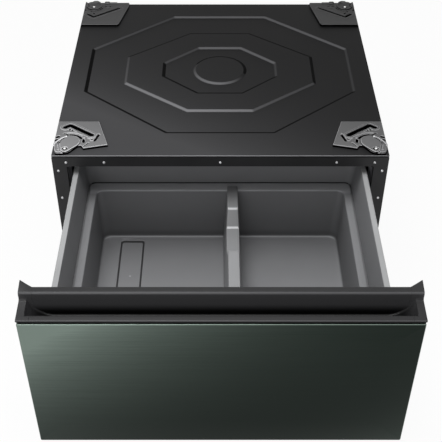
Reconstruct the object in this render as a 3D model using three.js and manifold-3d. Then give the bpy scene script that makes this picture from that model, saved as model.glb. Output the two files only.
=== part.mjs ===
// A washer pedestal: a low steel cabinet that a washer stands on, with one wide storage drawer.
// Millimetres, +Z up. The drawer front faces -Y. Before the last shift the floor is Z = 0,
// the cabinet's front plane is Y = 0 and its middle is X = 0. The drawer stands open.
import * as THREE from 'three';
import { mergeVertices } from 'three/addons/utils/BufferGeometryUtils.js';
import Module from 'manifold-3d';

const wasm = await Module();
wasm.setup();

// Cabinet
const cabinetWidth = 686;
const cabinetDepth = 641;
const deckHeight = 361; // floor to the flat rim of the deck
const cabinetLift = 25; // floor to the underside of the cabinet
const sheet = 1.2; // steel sheet
const bendRadius = 2.4; // outside of a bend in the sheet
const fitGap = 0.3; // between pieces that fit together
const sideFlange = 24; // flanges of the side panels

// Deck
const deckEdgeRadius = 2.2;
const deckLip = 3.2; // turned-down edge of the deck
const deckSeam = 1.4; // shadow line under that edge
const embossDepth = 3.5;
const embossWall = 3.6; // run of a pressed step's slope
const deckPatternShift = 8.5; // the pressed pattern lies behind the deck's middle
const deckRings = [
  { sideMargin: 44.5, endMargin: 73.7, cutAcross: 185.5, cutAlong: 156 },
  { sideMargin: 130, endMargin: 155, cutAcross: 142, cutAlong: 109 },
  { sideMargin: 215, endMargin: 223.8, cutAcross: 78, cutAlong: 68.4 },
];
const deckDiscRadius = 58;
const stiffenerWidth = 60;
const stiffenerHeight = 18;
const stiffenerFoot = 12;
const stiffenerInset = 190; // from the cabinet's front and back to each stiffener's middle

// Front frame
const railHeight = 22.5;
const sillHeight = 27;
const stileWidth = 29;
const openingRadius = 3;
const railReturn = 20;
const stileReturn = 52;
const stileLipInset = 8; // from the opening's corners to the ends of the stiles' lips

// Back panel
const backPressDepth = 3;
const backPressWall = 4;
const backPressMargin = 42;
const backPressGap = 36; // between the two pressed fields
const backPressRadius = 14;

// Base rails and feet
const baseRailWidth = 60;
const baseRailHeight = 30;
const baseRailSetback = 2; // behind the frame's turned-back sill, and as far in at the back
const footInset = 43; // from the cabinet's side to a foot's middle
const footPadRadius = 20;
const footPadHeight = 8;
const footStemRadius = 5;
const footStemTop = 48;
const footHoleGap = 0.45;
const nutWidth = 17; // across the flats
const nutHeight = 6;

// Slides
const drawerTravel = 369;
const slideLength = 450;
const slideHeight = 45;
const slideWidth = 12.7;
const slideDrop = 65; // from the drawer's rim down to the slides' middle
const slideStart = 4; // behind the cabinet's front plane
const slideMemberGap = 0.6;
const carrierHeight = 70;
const slideNotch = 9; // cut in the stiles, over and under the slides
const drawerSideGap = 10; // from the frame's opening to the drawer's side

// Drawer box
const drawerRimDrop = 50; // from the deck down to the top of the drawer's sides
const sideTopFlange = 11;
const sideBottomFlange = 60;
const drawerSideTail = 2; // past the rear panel's flanges
const binWall = 2.5;
const binFrontInset = 9;
const binLength = 440;
const binLedgeDrop = 80; // from the drawer's rim down to the bin's ledge
const binFloorRise = 50; // from the frame's sill up to the bin's floor
const binUpperDraft = 8;
const binLedgeWidth = 19;
const binRearLedgeWidth = 24;
const binLowerDraft = 4.5;
const binRimRadius = 16;
const binWellRadius = 14; // of the lower well's upright corners, at the ledge
const binFootRadius = 20; // the same, at the floor
const binFloorRadius = 6; // between the walls and the floor
const binRimFlange = 8;
const floorPadWidth = 53;
const floorPadInset = 98.5; // from the bin's side to the pad's middle
const floorPadEnd = 13; // from the lower well's ends
const floorPadRadius = 9;
const padGrooveWidth = 4; // the groove that outlines the pad
const padGrooveEndWidth = 9; // the same, across its ends
const padGrooveDepth = 1.4;
const rearFlange = 15;
const rearPanelGap = 1.5; // behind the bin's rim

// Divider
const dividerOffset = 26.5; // right of the drawer's middle
const dividerTopWidth = 22;
const dividerDraft = 8; // each side, from its top to its foot
const dividerWall = 2.2;
const dividerHook = 11; // reach over the bin's ledges
const dividerHookHeight = 4;
const dividerGap = 0.6;
const dividerFootCorner = 7; // clears the curve between the bin's wall and floor
const dipStart = 63.5; // from the divider's rear end to the dip
const dipLength = 128.5;
const dipDepth = 36;
const dipSlope = 23;

// Drawer front
const frontGap = 3; // between the closed drawer front and the cabinet
const frontDepth = 70;
const panelBottom = 16.5;
const panelDrop = 17.5; // from the deck down to the front panel's top
const panelReturn = 18;
const panelEdge = 2.2;
const backingWall = 2.5;
const backingInset = 11;
const backingRim = 3;
const bumperRadius = 6;
const bumperDrop = 80; // from the deck down to the bumpers

// Handle, measured forward from the drawer front's back plane and up from the deck
const handleBottom = -44;
const handleFloor = 3;
const handleTop = 12;
const handleWall = 2.5;
const flangeBack = 10;
const grooveBack = 25;
const grooveFront = 60; // the lip's back edge
const grooveThroat = 49.6; // the deep part's front wall, below the slope under the lip
const grooveEnd = 13; // from the cabinet's side to the groove's end, at its top
const grooveEndRun = 42; // from there to where its floor is flat
const grooveEndBend = [8, 6]; // in from the end and up from the floor: where the end's curve turns
const lipUnderEdge = 0.5; // upright edge of the lip over the slope under it
const lipFront = -8.3;
const lipThickness = 3.4;
const lipRecess = 4; // depth of the dark joint between the lip and the front panel
const endRise = 3.9; // the solid ends climb this much from the lip's front to the rear wall
const capWidth = 22;
const earTop = 16.5;
const earThickness = 6;
const earReach = 2; // past the drawer front's back plane
const earTip = 1; // width of the ear's blunt tip

// Corner holders: u runs in from the cabinet's side, v from its front or back
const holderBase = 5.4;
const holderWidth = 113;
const holderShortWidth = 87.5; // at the end towards the deck's middle
const rearHolderShortWidth = 95;
const holderLength = 114;
const holderInset = 1;
const slotWidth = 8.5;
const hookArmHeight = 7.6;
const keeperThickness = 2.8;
const pivotRadius = 3.2;
const pivotGap = 0.35;
const counterboreRadius = 6.4;
const counterboreDepth = 1.2;
const pivotHeadRise = 0.7;
const arcGapStart = 1.2;
const arcGapWidth = 3.2;
const arcGapDepth = 4.2;
const keepers = {
  front: { pivot: [27, 13], disc: [33.5, 38.5], discRadius: 21.5, lobeRadius: 9.5 },
  rear: { pivot: [26, 31], disc: [26, 21], discRadius: 19.5, lobeRadius: 8 },
};

const halfWidth = cabinetWidth / 2;
const frameTop = deckHeight - deckLip - deckSeam;
const openingTop = frameTop - railHeight;
const openingBottom = cabinetLift + sillHeight;
const drawerRim = deckHeight - drawerRimDrop;
const slideLevel = drawerRim - slideDrop;
const binLedgeLevel = drawerRim - binLedgeDrop;
const binFloorLevel = openingBottom + binFloorRise;
const panelTop = deckHeight - panelDrop;
const openingHalf = halfWidth - stileWidth;
const drawerHalf = openingHalf - drawerSideGap;
const frontBack = -frontGap; // the closed drawer front's back plane
const binHalf = drawerHalf - sideTopFlange - fitGap;
const drawerFloor = binFloorLevel - binWall - fitGap - sheet;
const baseRailAt = railReturn + baseRailSetback + baseRailWidth / 2;
const rearPanelAt = binFrontInset + binLength + binRimFlange + rearPanelGap;

// ---- Geometry helpers ----

function polygon(points) {
  return new THREE.Shape(points.map(([x, y]) => new THREE.Vector2(x, y)));
}

function roundedRectangle(x0, x1, y0, y1, radius) {
  const shape = new THREE.Shape();
  shape.moveTo(x0 + radius, y0);
  shape.absarc(x1 - radius, y0 + radius, radius, -Math.PI / 2, 0);
  shape.absarc(x1 - radius, y1 - radius, radius, 0, Math.PI / 2);
  shape.absarc(x0 + radius, y1 - radius, radius, Math.PI / 2, Math.PI);
  shape.absarc(x0 + radius, y0 + radius, radius, Math.PI, 1.5 * Math.PI);
  return shape;
}

function disc(x, y, radius) {
  const shape = new THREE.Shape();
  shape.absarc(x, y, radius, 0, 2 * Math.PI);
  return shape;
}

// The extrusions: along Z from a plan, along X from a (y, z) section, along Y from an (x, z) one.
function extrudeZ(shape, z0, z1, { steps = 5, bevel = 0, bevelSteps = 2 } = {}) {
  const geometry = new THREE.ExtrudeGeometry(shape, {
    depth: z1 - z0 - 2 * bevel, curveSegments: steps, bevelEnabled: bevel > 0,
    bevelThickness: bevel, bevelSize: bevel, bevelOffset: -bevel, bevelSegments: bevelSteps,
  });
  return geometry.translate(0, 0, z0 + bevel);
}

function extrudeX(shape, x0, x1, options) {
  const turned = new THREE.Matrix4().makeBasis(
    new THREE.Vector3(0, 1, 0), new THREE.Vector3(0, 0, 1), new THREE.Vector3(1, 0, 0));
  return extrudeZ(shape, x0, x1, options).applyMatrix4(turned);
}

function extrudeY(shape, y0, y1, options) {
  return extrudeZ(shape, -y1, -y0, options).rotateX(Math.PI / 2);
}

function block(x0, x1, y0, y1, z0, z1) {
  return new THREE.BoxGeometry(x1 - x0, y1 - y0, z1 - z0)
    .translate((x0 + x1) / 2, (y0 + y1) / 2, (z0 + z1) / 2);
}

function cylinder(x, y, z0, z1, radius, sides = 20) {
  return new THREE.CylinderGeometry(radius, radius, z1 - z0, sides)
    .rotateX(Math.PI / 2).translate(x, y, (z0 + z1) / 2);
}

// A revolved solid from a list of [radius, height], which starts and ends on the axis.
function revolve(profile, sides = 24) {
  const points = profile.map(([radius, height]) => new THREE.Vector2(radius, height));
  return new THREE.LatheGeometry(points, sides).rotateX(Math.PI / 2);
}

// A closed skin over rings of equal point counts, with a fan at each end.
function loft(rings) {
  const count = rings[0].length;
  const middle = (ring) => ring.reduce((sum, point) => sum.map((s, i) => s + point[i] / count), [0, 0, 0]);
  const vertices = [...rings.flat(), middle(rings[0]), middle(rings.at(-1))];
  const faces = [];
  for (let i = 0; i < count; i += 1) {
    const next = (i + 1) % count;
    for (let r = 0; r + 1 < rings.length; r += 1) {
      const [low, high] = [r * count, (r + 1) * count];
      faces.push(low + i, low + next, high + next, low + i, high + next, high + i);
    }
    const last = (rings.length - 1) * count;
    faces.push(rings.length * count, next, i, rings.length * count + 1, last + i, last + next);
  }
  const geometry = new THREE.BufferGeometry();
  geometry.setAttribute('position', new THREE.Float32BufferAttribute(vertices.flat(), 3));
  geometry.setIndex(faces);
  return geometry;
}

function ringAt(points, z) {
  return points.map(([x, y]) => [x, y, z]);
}

function roundedOutline([x0, x1, y0, y1], radius, steps = 5) {
  const centres = [[x1, y0, -1], [x1, y1, 0], [x0, y1, 1], [x0, y0, 2]];
  return centres.flatMap(([x, y, quarter]) => {
    const cx = x === x1 ? x - radius : x + radius;
    const cy = y === y1 ? y - radius : y + radius;
    return Array.from({ length: steps + 1 }, (_, i) => {
      const angle = (quarter + i / steps) * Math.PI / 2;
      return [cx + radius * Math.cos(angle), cy + radius * Math.sin(angle)];
    });
  });
}

// The place of a corner moved to the left of its path by a distance, with a mitre.
function offsetCorner(before, corner, after, distance) {
  const direction = (from, to) => {
    const length = Math.hypot(to[0] - from[0], to[1] - from[1]);
    return [(to[0] - from[0]) / length, (to[1] - from[1]) / length];
  };
  const into = direction(before ?? corner, before ? corner : after);
  const out = direction(after ? corner : before, after ?? corner);
  const normal = [-(into[1] + out[1]), into[0] + out[0]];
  const scale = distance / (1 + into[0] * out[0] + into[1] * out[1]);
  return [corner[0] + normal[0] * scale, corner[1] + normal[1] * scale];
}

function offsetPolygon(points, distance) {
  const count = points.length;
  return points.map((point, i) => offsetCorner(
    points[(i + count - 1) % count], point, points[(i + 1) % count], distance));
}

// Replaces each corner of a path by an arc, as a press brake bends a sheet.
function bent(path, radius, steps = 3) {
  return path.flatMap((corner, i) => {
    if (i === 0 || i === path.length - 1) return [corner];
    const [before, after] = [path[i - 1], path[i + 1]];
    const [ax, ay] = [before[0] - corner[0], before[1] - corner[1]];
    const [bx, by] = [after[0] - corner[0], after[1] - corner[1]];
    const [la, lb] = [Math.hypot(ax, ay), Math.hypot(bx, by)];
    const half = Math.acos((ax * bx + ay * by) / (la * lb)) / 2;
    const reach = radius / Math.tan(half);
    const start = new THREE.Vector2(corner[0] + ax / la * reach, corner[1] + ay / la * reach);
    const end = new THREE.Vector2(corner[0] + bx / lb * reach, corner[1] + by / lb * reach);
    const turn = Math.sign(-ax * by + ay * bx);
    const centre = new THREE.Vector2(start.x + turn * ay / la * radius, start.y - turn * ax / la * radius);
    const from = Math.atan2(start.y - centre.y, start.x - centre.x);
    const swing = turn * (Math.PI - 2 * half);
    return Array.from({ length: steps + 1 }, (_, k) => [
      centre.x + radius * Math.cos(from + swing * k / steps),
      centre.y + radius * Math.sin(from + swing * k / steps)]);
  });
}

// The section of a folded sheet whose outer face follows a path; the sheet lies left of it.
function foldedSheet(path, thickness = sheet, radius = bendRadius) {
  const outer = radius > 0 ? bent(path, radius) : path;
  const inner = outer.map((point, i) => offsetCorner(outer[i - 1], point, outer[i + 1], thickness));
  return polygon([...outer, ...inner.reverse()]);
}

function solid(piece) {
  if (piece instanceof wasm.Manifold) return piece;
  const bare = piece.clone();
  bare.deleteAttribute('normal');
  bare.deleteAttribute('uv');
  const merged = mergeVertices(bare, 1e-4);
  return new wasm.Manifold(new wasm.Mesh({
    numProp: 3,
    vertProperties: new Float32Array(merged.attributes.position.array),
    triVerts: new Uint32Array(merged.index.array),
  }));
}

function join(first, ...others) {
  return others.reduce((whole, piece) => whole.add(solid(piece)), solid(first));
}

function cut(whole, ...tools) {
  return tools.reduce((rest, tool) => rest.subtract(solid(tool)), solid(whole));
}

function common(first, second) {
  return solid(first).intersect(solid(second));
}

function geometryOf(piece) {
  if (!(piece instanceof wasm.Manifold)) return piece;
  const result = piece.getMesh();
  const geometry = new THREE.BufferGeometry();
  geometry.setAttribute('position', new THREE.BufferAttribute(new Float32Array(result.vertProperties), 3));
  geometry.setIndex(new THREE.BufferAttribute(new Uint32Array(result.triVerts), 1));
  return geometry;
}

// Mirrors a piece across X and Y by signs, and keeps its faces pointing out.
function mirrored(piece, signX, signY = 1) {
  const geometry = geometryOf(piece).clone().scale(signX, signY, 1);
  if (signX * signY > 0) return geometry;
  const corners = geometry.index
    ? Array.from(geometry.index.array)
    : Array.from({ length: geometry.attributes.position.count }, (_, i) => i);
  for (let i = 0; i < corners.length; i += 3) {
    [corners[i], corners[i + 1]] = [corners[i + 1], corners[i]];
  }
  geometry.setIndex(corners);
  return geometry;
}

// ---- Materials ----

function paint(colour, roughness, metalness) {
  return new THREE.MeshStandardMaterial({ color: new THREE.Color(colour), roughness, metalness });
}

const blackSheet = () => paint('#2a2b2d', 0.55, 0.4);
const darkZinc = () => paint('#3a3b3d', 0.5, 0.6);
const brightZinc = () => paint('#9a9da0', 0.35, 0.9);
const paleEnamel = () => paint('#b4b5b7', 0.45, 0.3);
const greyPlastic = () => paint('#5d5e62', 0.6, 0);
const palePlastic = () => paint('#85868a', 0.6, 0);
const blackPlastic = () => paint('#232426', 0.4, 0);
const greenSteel = () => paint('#2e3d35', 0.35, 0.85);
const castGrey = () => paint('#55575a', 0.55, 0.3);
const blackRubber = () => paint('#161616', 0.9, 0);

function add(group, name, piece, material, place = [0, 0, 0]) {
  const geometry = geometryOf(piece);
  geometry.computeVertexNormals();
  const mesh = new THREE.Mesh(geometry, material);
  mesh.name = name;
  mesh.position.set(...place);
  group.add(mesh);
}

// ---- Cabinet ----

// One pressed octagon's outline, at the middle of its sloped wall.
function octagon({ sideMargin, endMargin, cutAcross, cutAlong }) {
  const [x, y] = [halfWidth - sideMargin, cabinetDepth / 2 - endMargin];
  const [flatX, flatY] = [x - cutAcross, y - cutAlong];
  const centre = cabinetDepth / 2 + deckPatternShift;
  return [[flatX, -y], [x, -flatY], [x, flatY], [flatX, y], [-flatX, y], [-x, flatY], [-x, -flatY],
    [-flatX, -y]].map(([px, py]) => [px, py + centre]);
}

// A wedge-sided plug on an outline: it widens upward to cut a step, downward to raise one.
function slopedPlug(outline, bottom, top, level, depth, wall, widens) {
  const slope = wall / depth;
  const grown = (z) => offsetPolygon(outline, -widens * (z - level + depth / 2) * slope);
  return loft([ringAt(grown(bottom), bottom), ringAt(grown(top), top)]);
}

// Everything below the deck's upper surface, moved down by a drop.
function deckBody(drop) {
  const level = deckHeight - drop;
  const low = level - 4 * embossDepth;
  const [outer, middle, inner] = deckRings.map(octagon);
  const plan = roundedRectangle(-halfWidth, halfWidth, 0, cabinetDepth, deckEdgeRadius + 1);
  const slab = extrudeZ(plan, low, level, { bevel: deckEdgeRadius, bevelSteps: 3, steps: 2 });
  const plug = (outline, bottom, top, widens) => slopedPlug(
    outline, bottom, top, level, embossDepth, embossWall, widens);
  const sink = (outline) => plug(outline, level - embossDepth, level + 1, 1);
  const raise = (outline) => plug(outline, low + embossDepth, level, -1);
  const slope = embossWall / embossDepth;
  const raised = revolve([
    [0, -2 * embossDepth], [deckDiscRadius + embossWall / 2 + slope * embossDepth, -2 * embossDepth],
    [deckDiscRadius - embossWall / 2, 0], [0, 0]], 48)
    .translate(0, cabinetDepth / 2 + deckPatternShift, level);
  return join(cut(join(cut(slab, sink(outer)), raise(middle)), sink(inner)), raised);
}

function topPlate() {
  const [low, lip] = [deckHeight - 6 * embossDepth, deckHeight - deckLip];
  const inside = block(-halfWidth + sheet, halfWidth - sheet, sheet, cabinetDepth - sheet, low, deckHeight);
  const edge = cut(
    block(-halfWidth - 1, halfWidth + 1, -1, cabinetDepth + 1, low, lip),
    block(-halfWidth + 30, halfWidth - 30, 30, cabinetDepth - 30, low - 1, lip + 1));
  return cut(deckBody(0), common(deckBody(sheet), inside), edge);
}

// A side panel is a shallow pan: its front, back, top and bottom edges are folded in,
// and the top flange steps up inside the deck's lip.
function sidePanel() {
  const [front, back] = [sheet + fitGap, cabinetDepth - sheet - fitGap];
  const tip = -halfWidth + sideFlange;
  const step = -halfWidth + sheet + fitGap;
  const flangeTop = deckHeight - sheet - fitGap;
  const wrap = foldedSheet([[tip, back], [-halfWidth, back], [-halfWidth, front], [tip, front]]);
  const [inFront, inBack] = [front + bendRadius, back - bendRadius];
  return join(
    extrudeZ(wrap, cabinetLift, frameTop),
    block(-halfWidth + sheet / 2, tip, inFront, inBack, cabinetLift, cabinetLift + sheet),
    block(-halfWidth + sheet / 2, step + sheet, inFront, inBack, frameTop - sheet, frameTop),
    block(step, step + sheet, inFront, inBack, frameTop - sheet, flangeTop),
    block(step, tip, inFront, inBack, flangeTop - sheet, flangeTop));
}

// The front frame: one plate with the drawer's opening, and its edges turned back.
function frontFrame() {
  const plate = roundedRectangle(-halfWidth, halfWidth, cabinetLift, frameTop, 1);
  plate.holes.push(roundedRectangle(-openingHalf, openingHalf, openingBottom, openingTop, openingRadius));
  const reach = openingHalf - openingRadius;
  const [low, high] = [openingBottom + stileLipInset, openingTop - stileLipInset];
  const notch = slideHeight / 2 + slideNotch - fitGap;
  const stileLips = [-1, 1].map((side) => {
    const [x0, x1] = [side * openingHalf, side * (openingHalf + sheet)].sort((a, b) => a - b);
    return block(x0, x1, 0, stileReturn, low, high);
  });
  const passage = block(-halfWidth, halfWidth, sheet, stileReturn + 1,
    slideLevel - notch, slideLevel + notch);
  const lips = cut(join(...stileLips), passage);
  return join(
    extrudeY(plate, 0, sheet),
    lips,
    block(-reach, reach, 0, railReturn, openingTop, openingTop + sheet),
    block(-reach, reach, 0, railReturn, openingBottom - sheet, openingBottom),
    block(-halfWidth + sideFlange + 1, halfWidth - sideFlange - 1, 0, railReturn,
      frameTop - sheet, frameTop));
}

// The back panel: a plate with two shallow fields pressed inward.
function backPanel() {
  const fields = [-1, 1].map((side) => {
    const [near, far] = [side * backPressGap / 2, side * (halfWidth - backPressMargin)];
    const bounds = [Math.min(near, far), Math.max(near, far),
      cabinetLift + backPressMargin, frameTop - backPressMargin];
    return roundedOutline(bounds, backPressRadius, 3);
  });
  const pressing = (field, drop) => slopedPlug(
    field, -backPressDepth - drop, 1, -drop, backPressDepth, backPressWall, 1);
  const body = (drop) => fields.reduce((rest, field) => cut(rest, pressing(field, drop)),
    solid(block(-halfWidth, halfWidth, cabinetLift, frameTop, -4 * backPressDepth, -drop)));
  const low = block(-halfWidth - 1, halfWidth + 1, cabinetLift - 1, frameTop + 1,
    -5 * backPressDepth, -backPressDepth - sheet);
  const facingBack = new THREE.Matrix4().makeBasis(
    new THREE.Vector3(-1, 0, 0), new THREE.Vector3(0, 0, 1), new THREE.Vector3(0, 1, 0));
  return geometryOf(cut(body(0), body(sheet), low)).applyMatrix4(facingBack).translate(0, cabinetDepth, 0);
}

function baseRail() {
  const [y, z] = [baseRailWidth / 2, cabinetLift + sheet + fitGap];
  const top = z + baseRailHeight;
  const channel = foldedSheet([[-y, top], [-y, z], [y, z], [y, top]]);
  const half = halfWidth - sheet - fitGap;
  const holes = [-1, 1].map((side) => cylinder(side * (halfWidth - footInset), 0, z - 1, z + sheet + 1,
    footStemRadius + footHoleGap));
  return cut(extrudeX(channel, -half, half), ...holes);
}

// A hat-shaped stiffener that is welded under the deck's sunk field.
function deckStiffener() {
  const top = deckHeight - embossDepth - sheet - fitGap;
  const low = top - stiffenerHeight;
  const [inner, outer] = [stiffenerWidth / 2 - stiffenerFoot, stiffenerWidth / 2];
  const hat = foldedSheet([
    [outer, top], [inner, top], [inner, low], [-inner, low], [-inner, top], [-outer, top]]);
  const half = halfWidth - deckRings[0].sideMargin - 2 * embossWall;
  return extrudeX(hat, -half, half);
}

function slideCarrier() {
  const web = -(drawerHalf + slideWidth + fitGap);
  const [low, high] = [slideLevel - carrierHeight / 2, slideLevel + carrierHeight / 2];
  const wall = -halfWidth + sheet + fitGap;
  const section = foldedSheet([[wall, low], [web, low], [web, high], [wall, high]]);
  const inset = sheet + 2 * fitGap + bendRadius;
  const [front, back] = [inset, cabinetDepth - inset];
  const notch = block(-openingHalf - sheet - fitGap, -openingHalf + 1, 0, stileReturn + 1, low - 1, high + 1);
  return cut(extrudeY(section, front, back), notch);
}

function levellingFoot() {
  return revolve([[0, 0], [footPadRadius - 1.5, 0], [footPadRadius, 1.5], [footPadRadius, footPadHeight - 3],
    [footPadRadius - 3, footPadHeight], [footStemRadius + 5, footPadHeight + 1],
    [footStemRadius + 3, footPadHeight + 6], [footStemRadius, footPadHeight + 6],
    [footStemRadius, footStemTop - 1], [footStemRadius - 1, footStemTop], [0, footStemTop]], 20);
}

function lockNut() {
  const top = cabinetLift + sheet;
  const corner = nutWidth / 2 / Math.cos(Math.PI / 6);
  return cut(cylinder(0, 0, top - nutHeight, top, corner, 6),
    cylinder(0, 0, top - nutHeight - 1, top + 1, footStemRadius + footHoleGap, 20));
}

// ---- Corner holders ----

// The outline of a keeper: a disc joined to a smaller round lobe at its pivot by tangents.
function keeperOutline({ pivot, disc: centre, discRadius, lobeRadius }, grow = 0) {
  const [dx, dy] = [centre[0] - pivot[0], centre[1] - pivot[1]];
  const length = Math.hypot(dx, dy);
  const [big, small] = [discRadius + grow, lobeRadius + grow];
  if (big - small >= length) return disc(dx, dy, big);
  const heading = Math.atan2(dy, dx);
  const lean = Math.PI / 2 + Math.asin((big - small) / length);
  const shape = new THREE.Shape();
  shape.absarc(dx, dy, big, heading - lean, heading + lean);
  shape.absarc(0, 0, small, heading + lean, heading + 2 * Math.PI - lean);
  return shape;
}

function keeper(kind) {
  const [low, high] = [holderBase + fitGap, holderBase + fitGap + keeperThickness];
  const plate = extrudeZ(keeperOutline(keepers[kind]), low, high, { steps: 14, bevel: 0.5, bevelSteps: 1 });
  return cut(plate,
    cylinder(0, 0, low - 1, high + 1, pivotRadius + pivotGap),
    cylinder(0, 0, high - counterboreDepth, high + 1, counterboreRadius));
}

function keeperPivot() {
  const shelf = holderBase + fitGap + keeperThickness - counterboreDepth;
  const head = shelf + fitGap;
  const headEdge = head + counterboreDepth;
  const headTop = headEdge + pivotHeadRise;
  return revolve([[0, holderBase], [pivotRadius, holderBase], [pivotRadius, head],
    [counterboreRadius - 2, head], [counterboreRadius - 2, headEdge],
    [counterboreRadius - 3, headTop], [0, headTop]], 18);
}

// A round-ended slot through a list of points.
function slot(points, width, z0, z1) {
  const runs = points.slice(1).map((end, i) => {
    const start = points[i];
    const length = Math.hypot(end[0] - start[0], end[1] - start[1]);
    const bar = roundedRectangle(-width / 2, length + width / 2, -width / 2, width / 2, width / 2 - 0.01);
    return extrudeZ(bar, z0, z1, { steps: 3 })
      .rotateZ(Math.atan2(end[1] - start[1], end[0] - start[0])).translate(start[0], start[1], 0);
  });
  return join(...runs);
}

// The dark groove that runs part of the way round a keeper's disc.
function arcGap({ disc: [u, v], discRadius }, from, to) {
  const [inner, outer] = [discRadius + arcGapStart, discRadius + arcGapStart + arcGapWidth];
  const shape = new THREE.Shape();
  shape.absarc(u, v, outer, from, to);
  shape.absarc(u, v, inner, to, from, true);
  return extrudeZ(shape, holderBase - arcGapDepth, holderBase + 1, { steps: 14 });
}

function frontHolder() {
  const [left, near] = [holderInset, holderInset];
  const outline = polygon([[left, holderLength], [left, 40], [5, 12], [8, near + 2], [14, near],
    [22, near + 1], [33, 5], [39, 11], [50, 27.5], [58, 28.5], [63.5, 19], [holderWidth, 31],
    [holderShortWidth, holderLength]].reverse());
  const arm = polygon([[left, 50], [left, 40], [5, 12], [8, near + 2], [14, near], [20, near + 1], [15.5, 9],
    [11, 16], [8, 28], [7, 48]].reverse());
  const body = join(
    extrudeZ(outline, 0, holderBase, { bevel: 0.6, bevelSteps: 1 }),
    extrudeZ(arm, 0, hookArmHeight, { bevel: 0.4, bevelSteps: 1 }));
  return cut(body,
    slot([[78, 68], [28.5, 103.5], [19, 94]], slotWidth, -1, holderBase + 3),
    slot([[92, 70], [84, 48]], slotWidth / 2, -1, holderBase + 3),
    arcGap(keepers.front, 0.12 * Math.PI, 0.72 * Math.PI),
    slot([[62, 42], [62, 49]], slotWidth / 2, -1, holderBase + 3),
    slot([[6, 56], [8, 66]], slotWidth / 2, -1, holderBase + 3));
}

function rearHolder() {
  const [left, far] = [holderInset, holderInset];
  const outline = polygon([[left, holderLength], [left, far], [holderWidth, far], [holderWidth, 20],
    [rearHolderShortWidth, holderLength - 5], [rearHolderShortWidth - 4, holderLength]].reverse());
  const body = join(
    extrudeZ(outline, 0, holderBase, { bevel: 0.6, bevelSteps: 1 }),
    extrudeZ(roundedRectangle(52, 80, far, far + 5, 1.5), 1, hookArmHeight + 2, { steps: 2 }),
    cylinder(61, 26, 1, hookArmHeight + 1, 4.5, 14));
  return cut(body,
    slot([[88.5, 31.4], [28, 78.6], [12, 61]], slotWidth, -1, holderBase + 3),
    arcGap(keepers.rear, 0.25 * Math.PI, 0.75 * Math.PI),
    slot([[6, 40], [6, 50]], slotWidth / 2, -1, holderBase + 3));
}

// ---- Slides ----

// The slides' three members nest as channels, drawn here for the left side.
function slideMember(webX, tipX, height, front, back) {
  const [low, high] = [slideLevel - height / 2, slideLevel + height / 2];
  const outward = webX < tipX;
  const path = outward
    ? [[tipX, high], [webX, high], [webX, low], [tipX, low]]
    : [[tipX, low], [webX, low], [webX, high], [tipX, high]];
  return extrudeY(foldedSheet(path, sheet, bendRadius / 2 + sheet / 2), front, back);
}

const slideBack = slideStart + slideLength;
const outerWeb = -(drawerHalf + slideWidth);
const middleHeight = slideHeight - 2 * sheet - 2 * slideMemberGap;
const innerHeight = middleHeight - 2 * sheet - 2 * slideMemberGap;
const memberTip = -(drawerHalf + fitGap + sheet + slideMemberGap);
const outerSlide = () => slideMember(outerWeb, memberTip, slideHeight, slideStart, slideBack);
const middleSlide = () => slideMember(-(openingHalf - slideMemberGap), memberTip, middleHeight,
  slideStart, slideBack);
const innerSlide = () => slideMember(-(drawerHalf + fitGap),
  -(openingHalf - slideMemberGap - sheet - slideMemberGap), innerHeight, slideStart, slideBack);

// ---- Drawer, drawn in its closed place ----

function drawerSide() {
  const top = drawerRim;
  const section = foldedSheet([[-(drawerHalf - sideTopFlange), top], [-drawerHalf, top],
    [-drawerHalf, drawerFloor], [-(drawerHalf - sideBottomFlange), drawerFloor]], sheet, bendRadius);
  return extrudeY(section, frontBack + fitGap, rearPanelAt + rearFlange + drawerSideTail);
}

function drawerRearPanel() {
  const half = drawerHalf - sheet - fitGap;
  const [low, high] = [drawerFloor + bendRadius + fitGap, drawerRim - bendRadius - fitGap];
  const section = foldedSheet([[rearPanelAt + rearFlange, high], [rearPanelAt, high],
    [rearPanelAt, low], [rearPanelAt + rearFlange, low]]);
  return extrudeX(section, -half, half);
}

// The bin's inner surface: an upper well, a ledge all round, and a deep lower well.
const binFront = binFrontInset;
const binBack = binFrontInset + binLength;
const rimTop = drawerRim - sheet - fitGap;
const upperBounds = (inset) => [-binHalf + inset, binHalf - inset, binFront + inset, binBack - inset];
const wellBounds = (inset) => {
  const [x0, x1, y0, y1] = upperBounds(binUpperDraft);
  return [x0 + binLedgeWidth + inset, x1 - binLedgeWidth - inset,
    y0 + binLedgeWidth + inset, y1 - binRearLedgeWidth - inset];
};

// The two wells as solids, grown outward by a wall.
function binWells(wall, lid) {
  const upper = loft([
    ringAt(roundedOutline(upperBounds(binUpperDraft - wall), binRimRadius - 2 + wall), binLedgeLevel - wall),
    ringAt(roundedOutline(upperBounds(-wall), binRimRadius + wall), rimTop + lid)]);
  const steps = 4;
  const bend = Array.from({ length: steps + 1 }, (_, i) => {
    const angle = i / steps * Math.PI / 2;
    const inset = binFloorRadius * (1 - Math.sin(angle));
    return ringAt(roundedOutline(wellBounds(binLowerDraft + inset - wall), binFootRadius - inset + wall),
      binFloorLevel - wall + binFloorRadius * (1 - Math.cos(angle)));
  });
  const well = loft([...bend,
    ringAt(roundedOutline(wellBounds(-wall), binWellRadius + wall), binLedgeLevel + 1 - wall)]);
  return join(upper, well);
}

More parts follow.
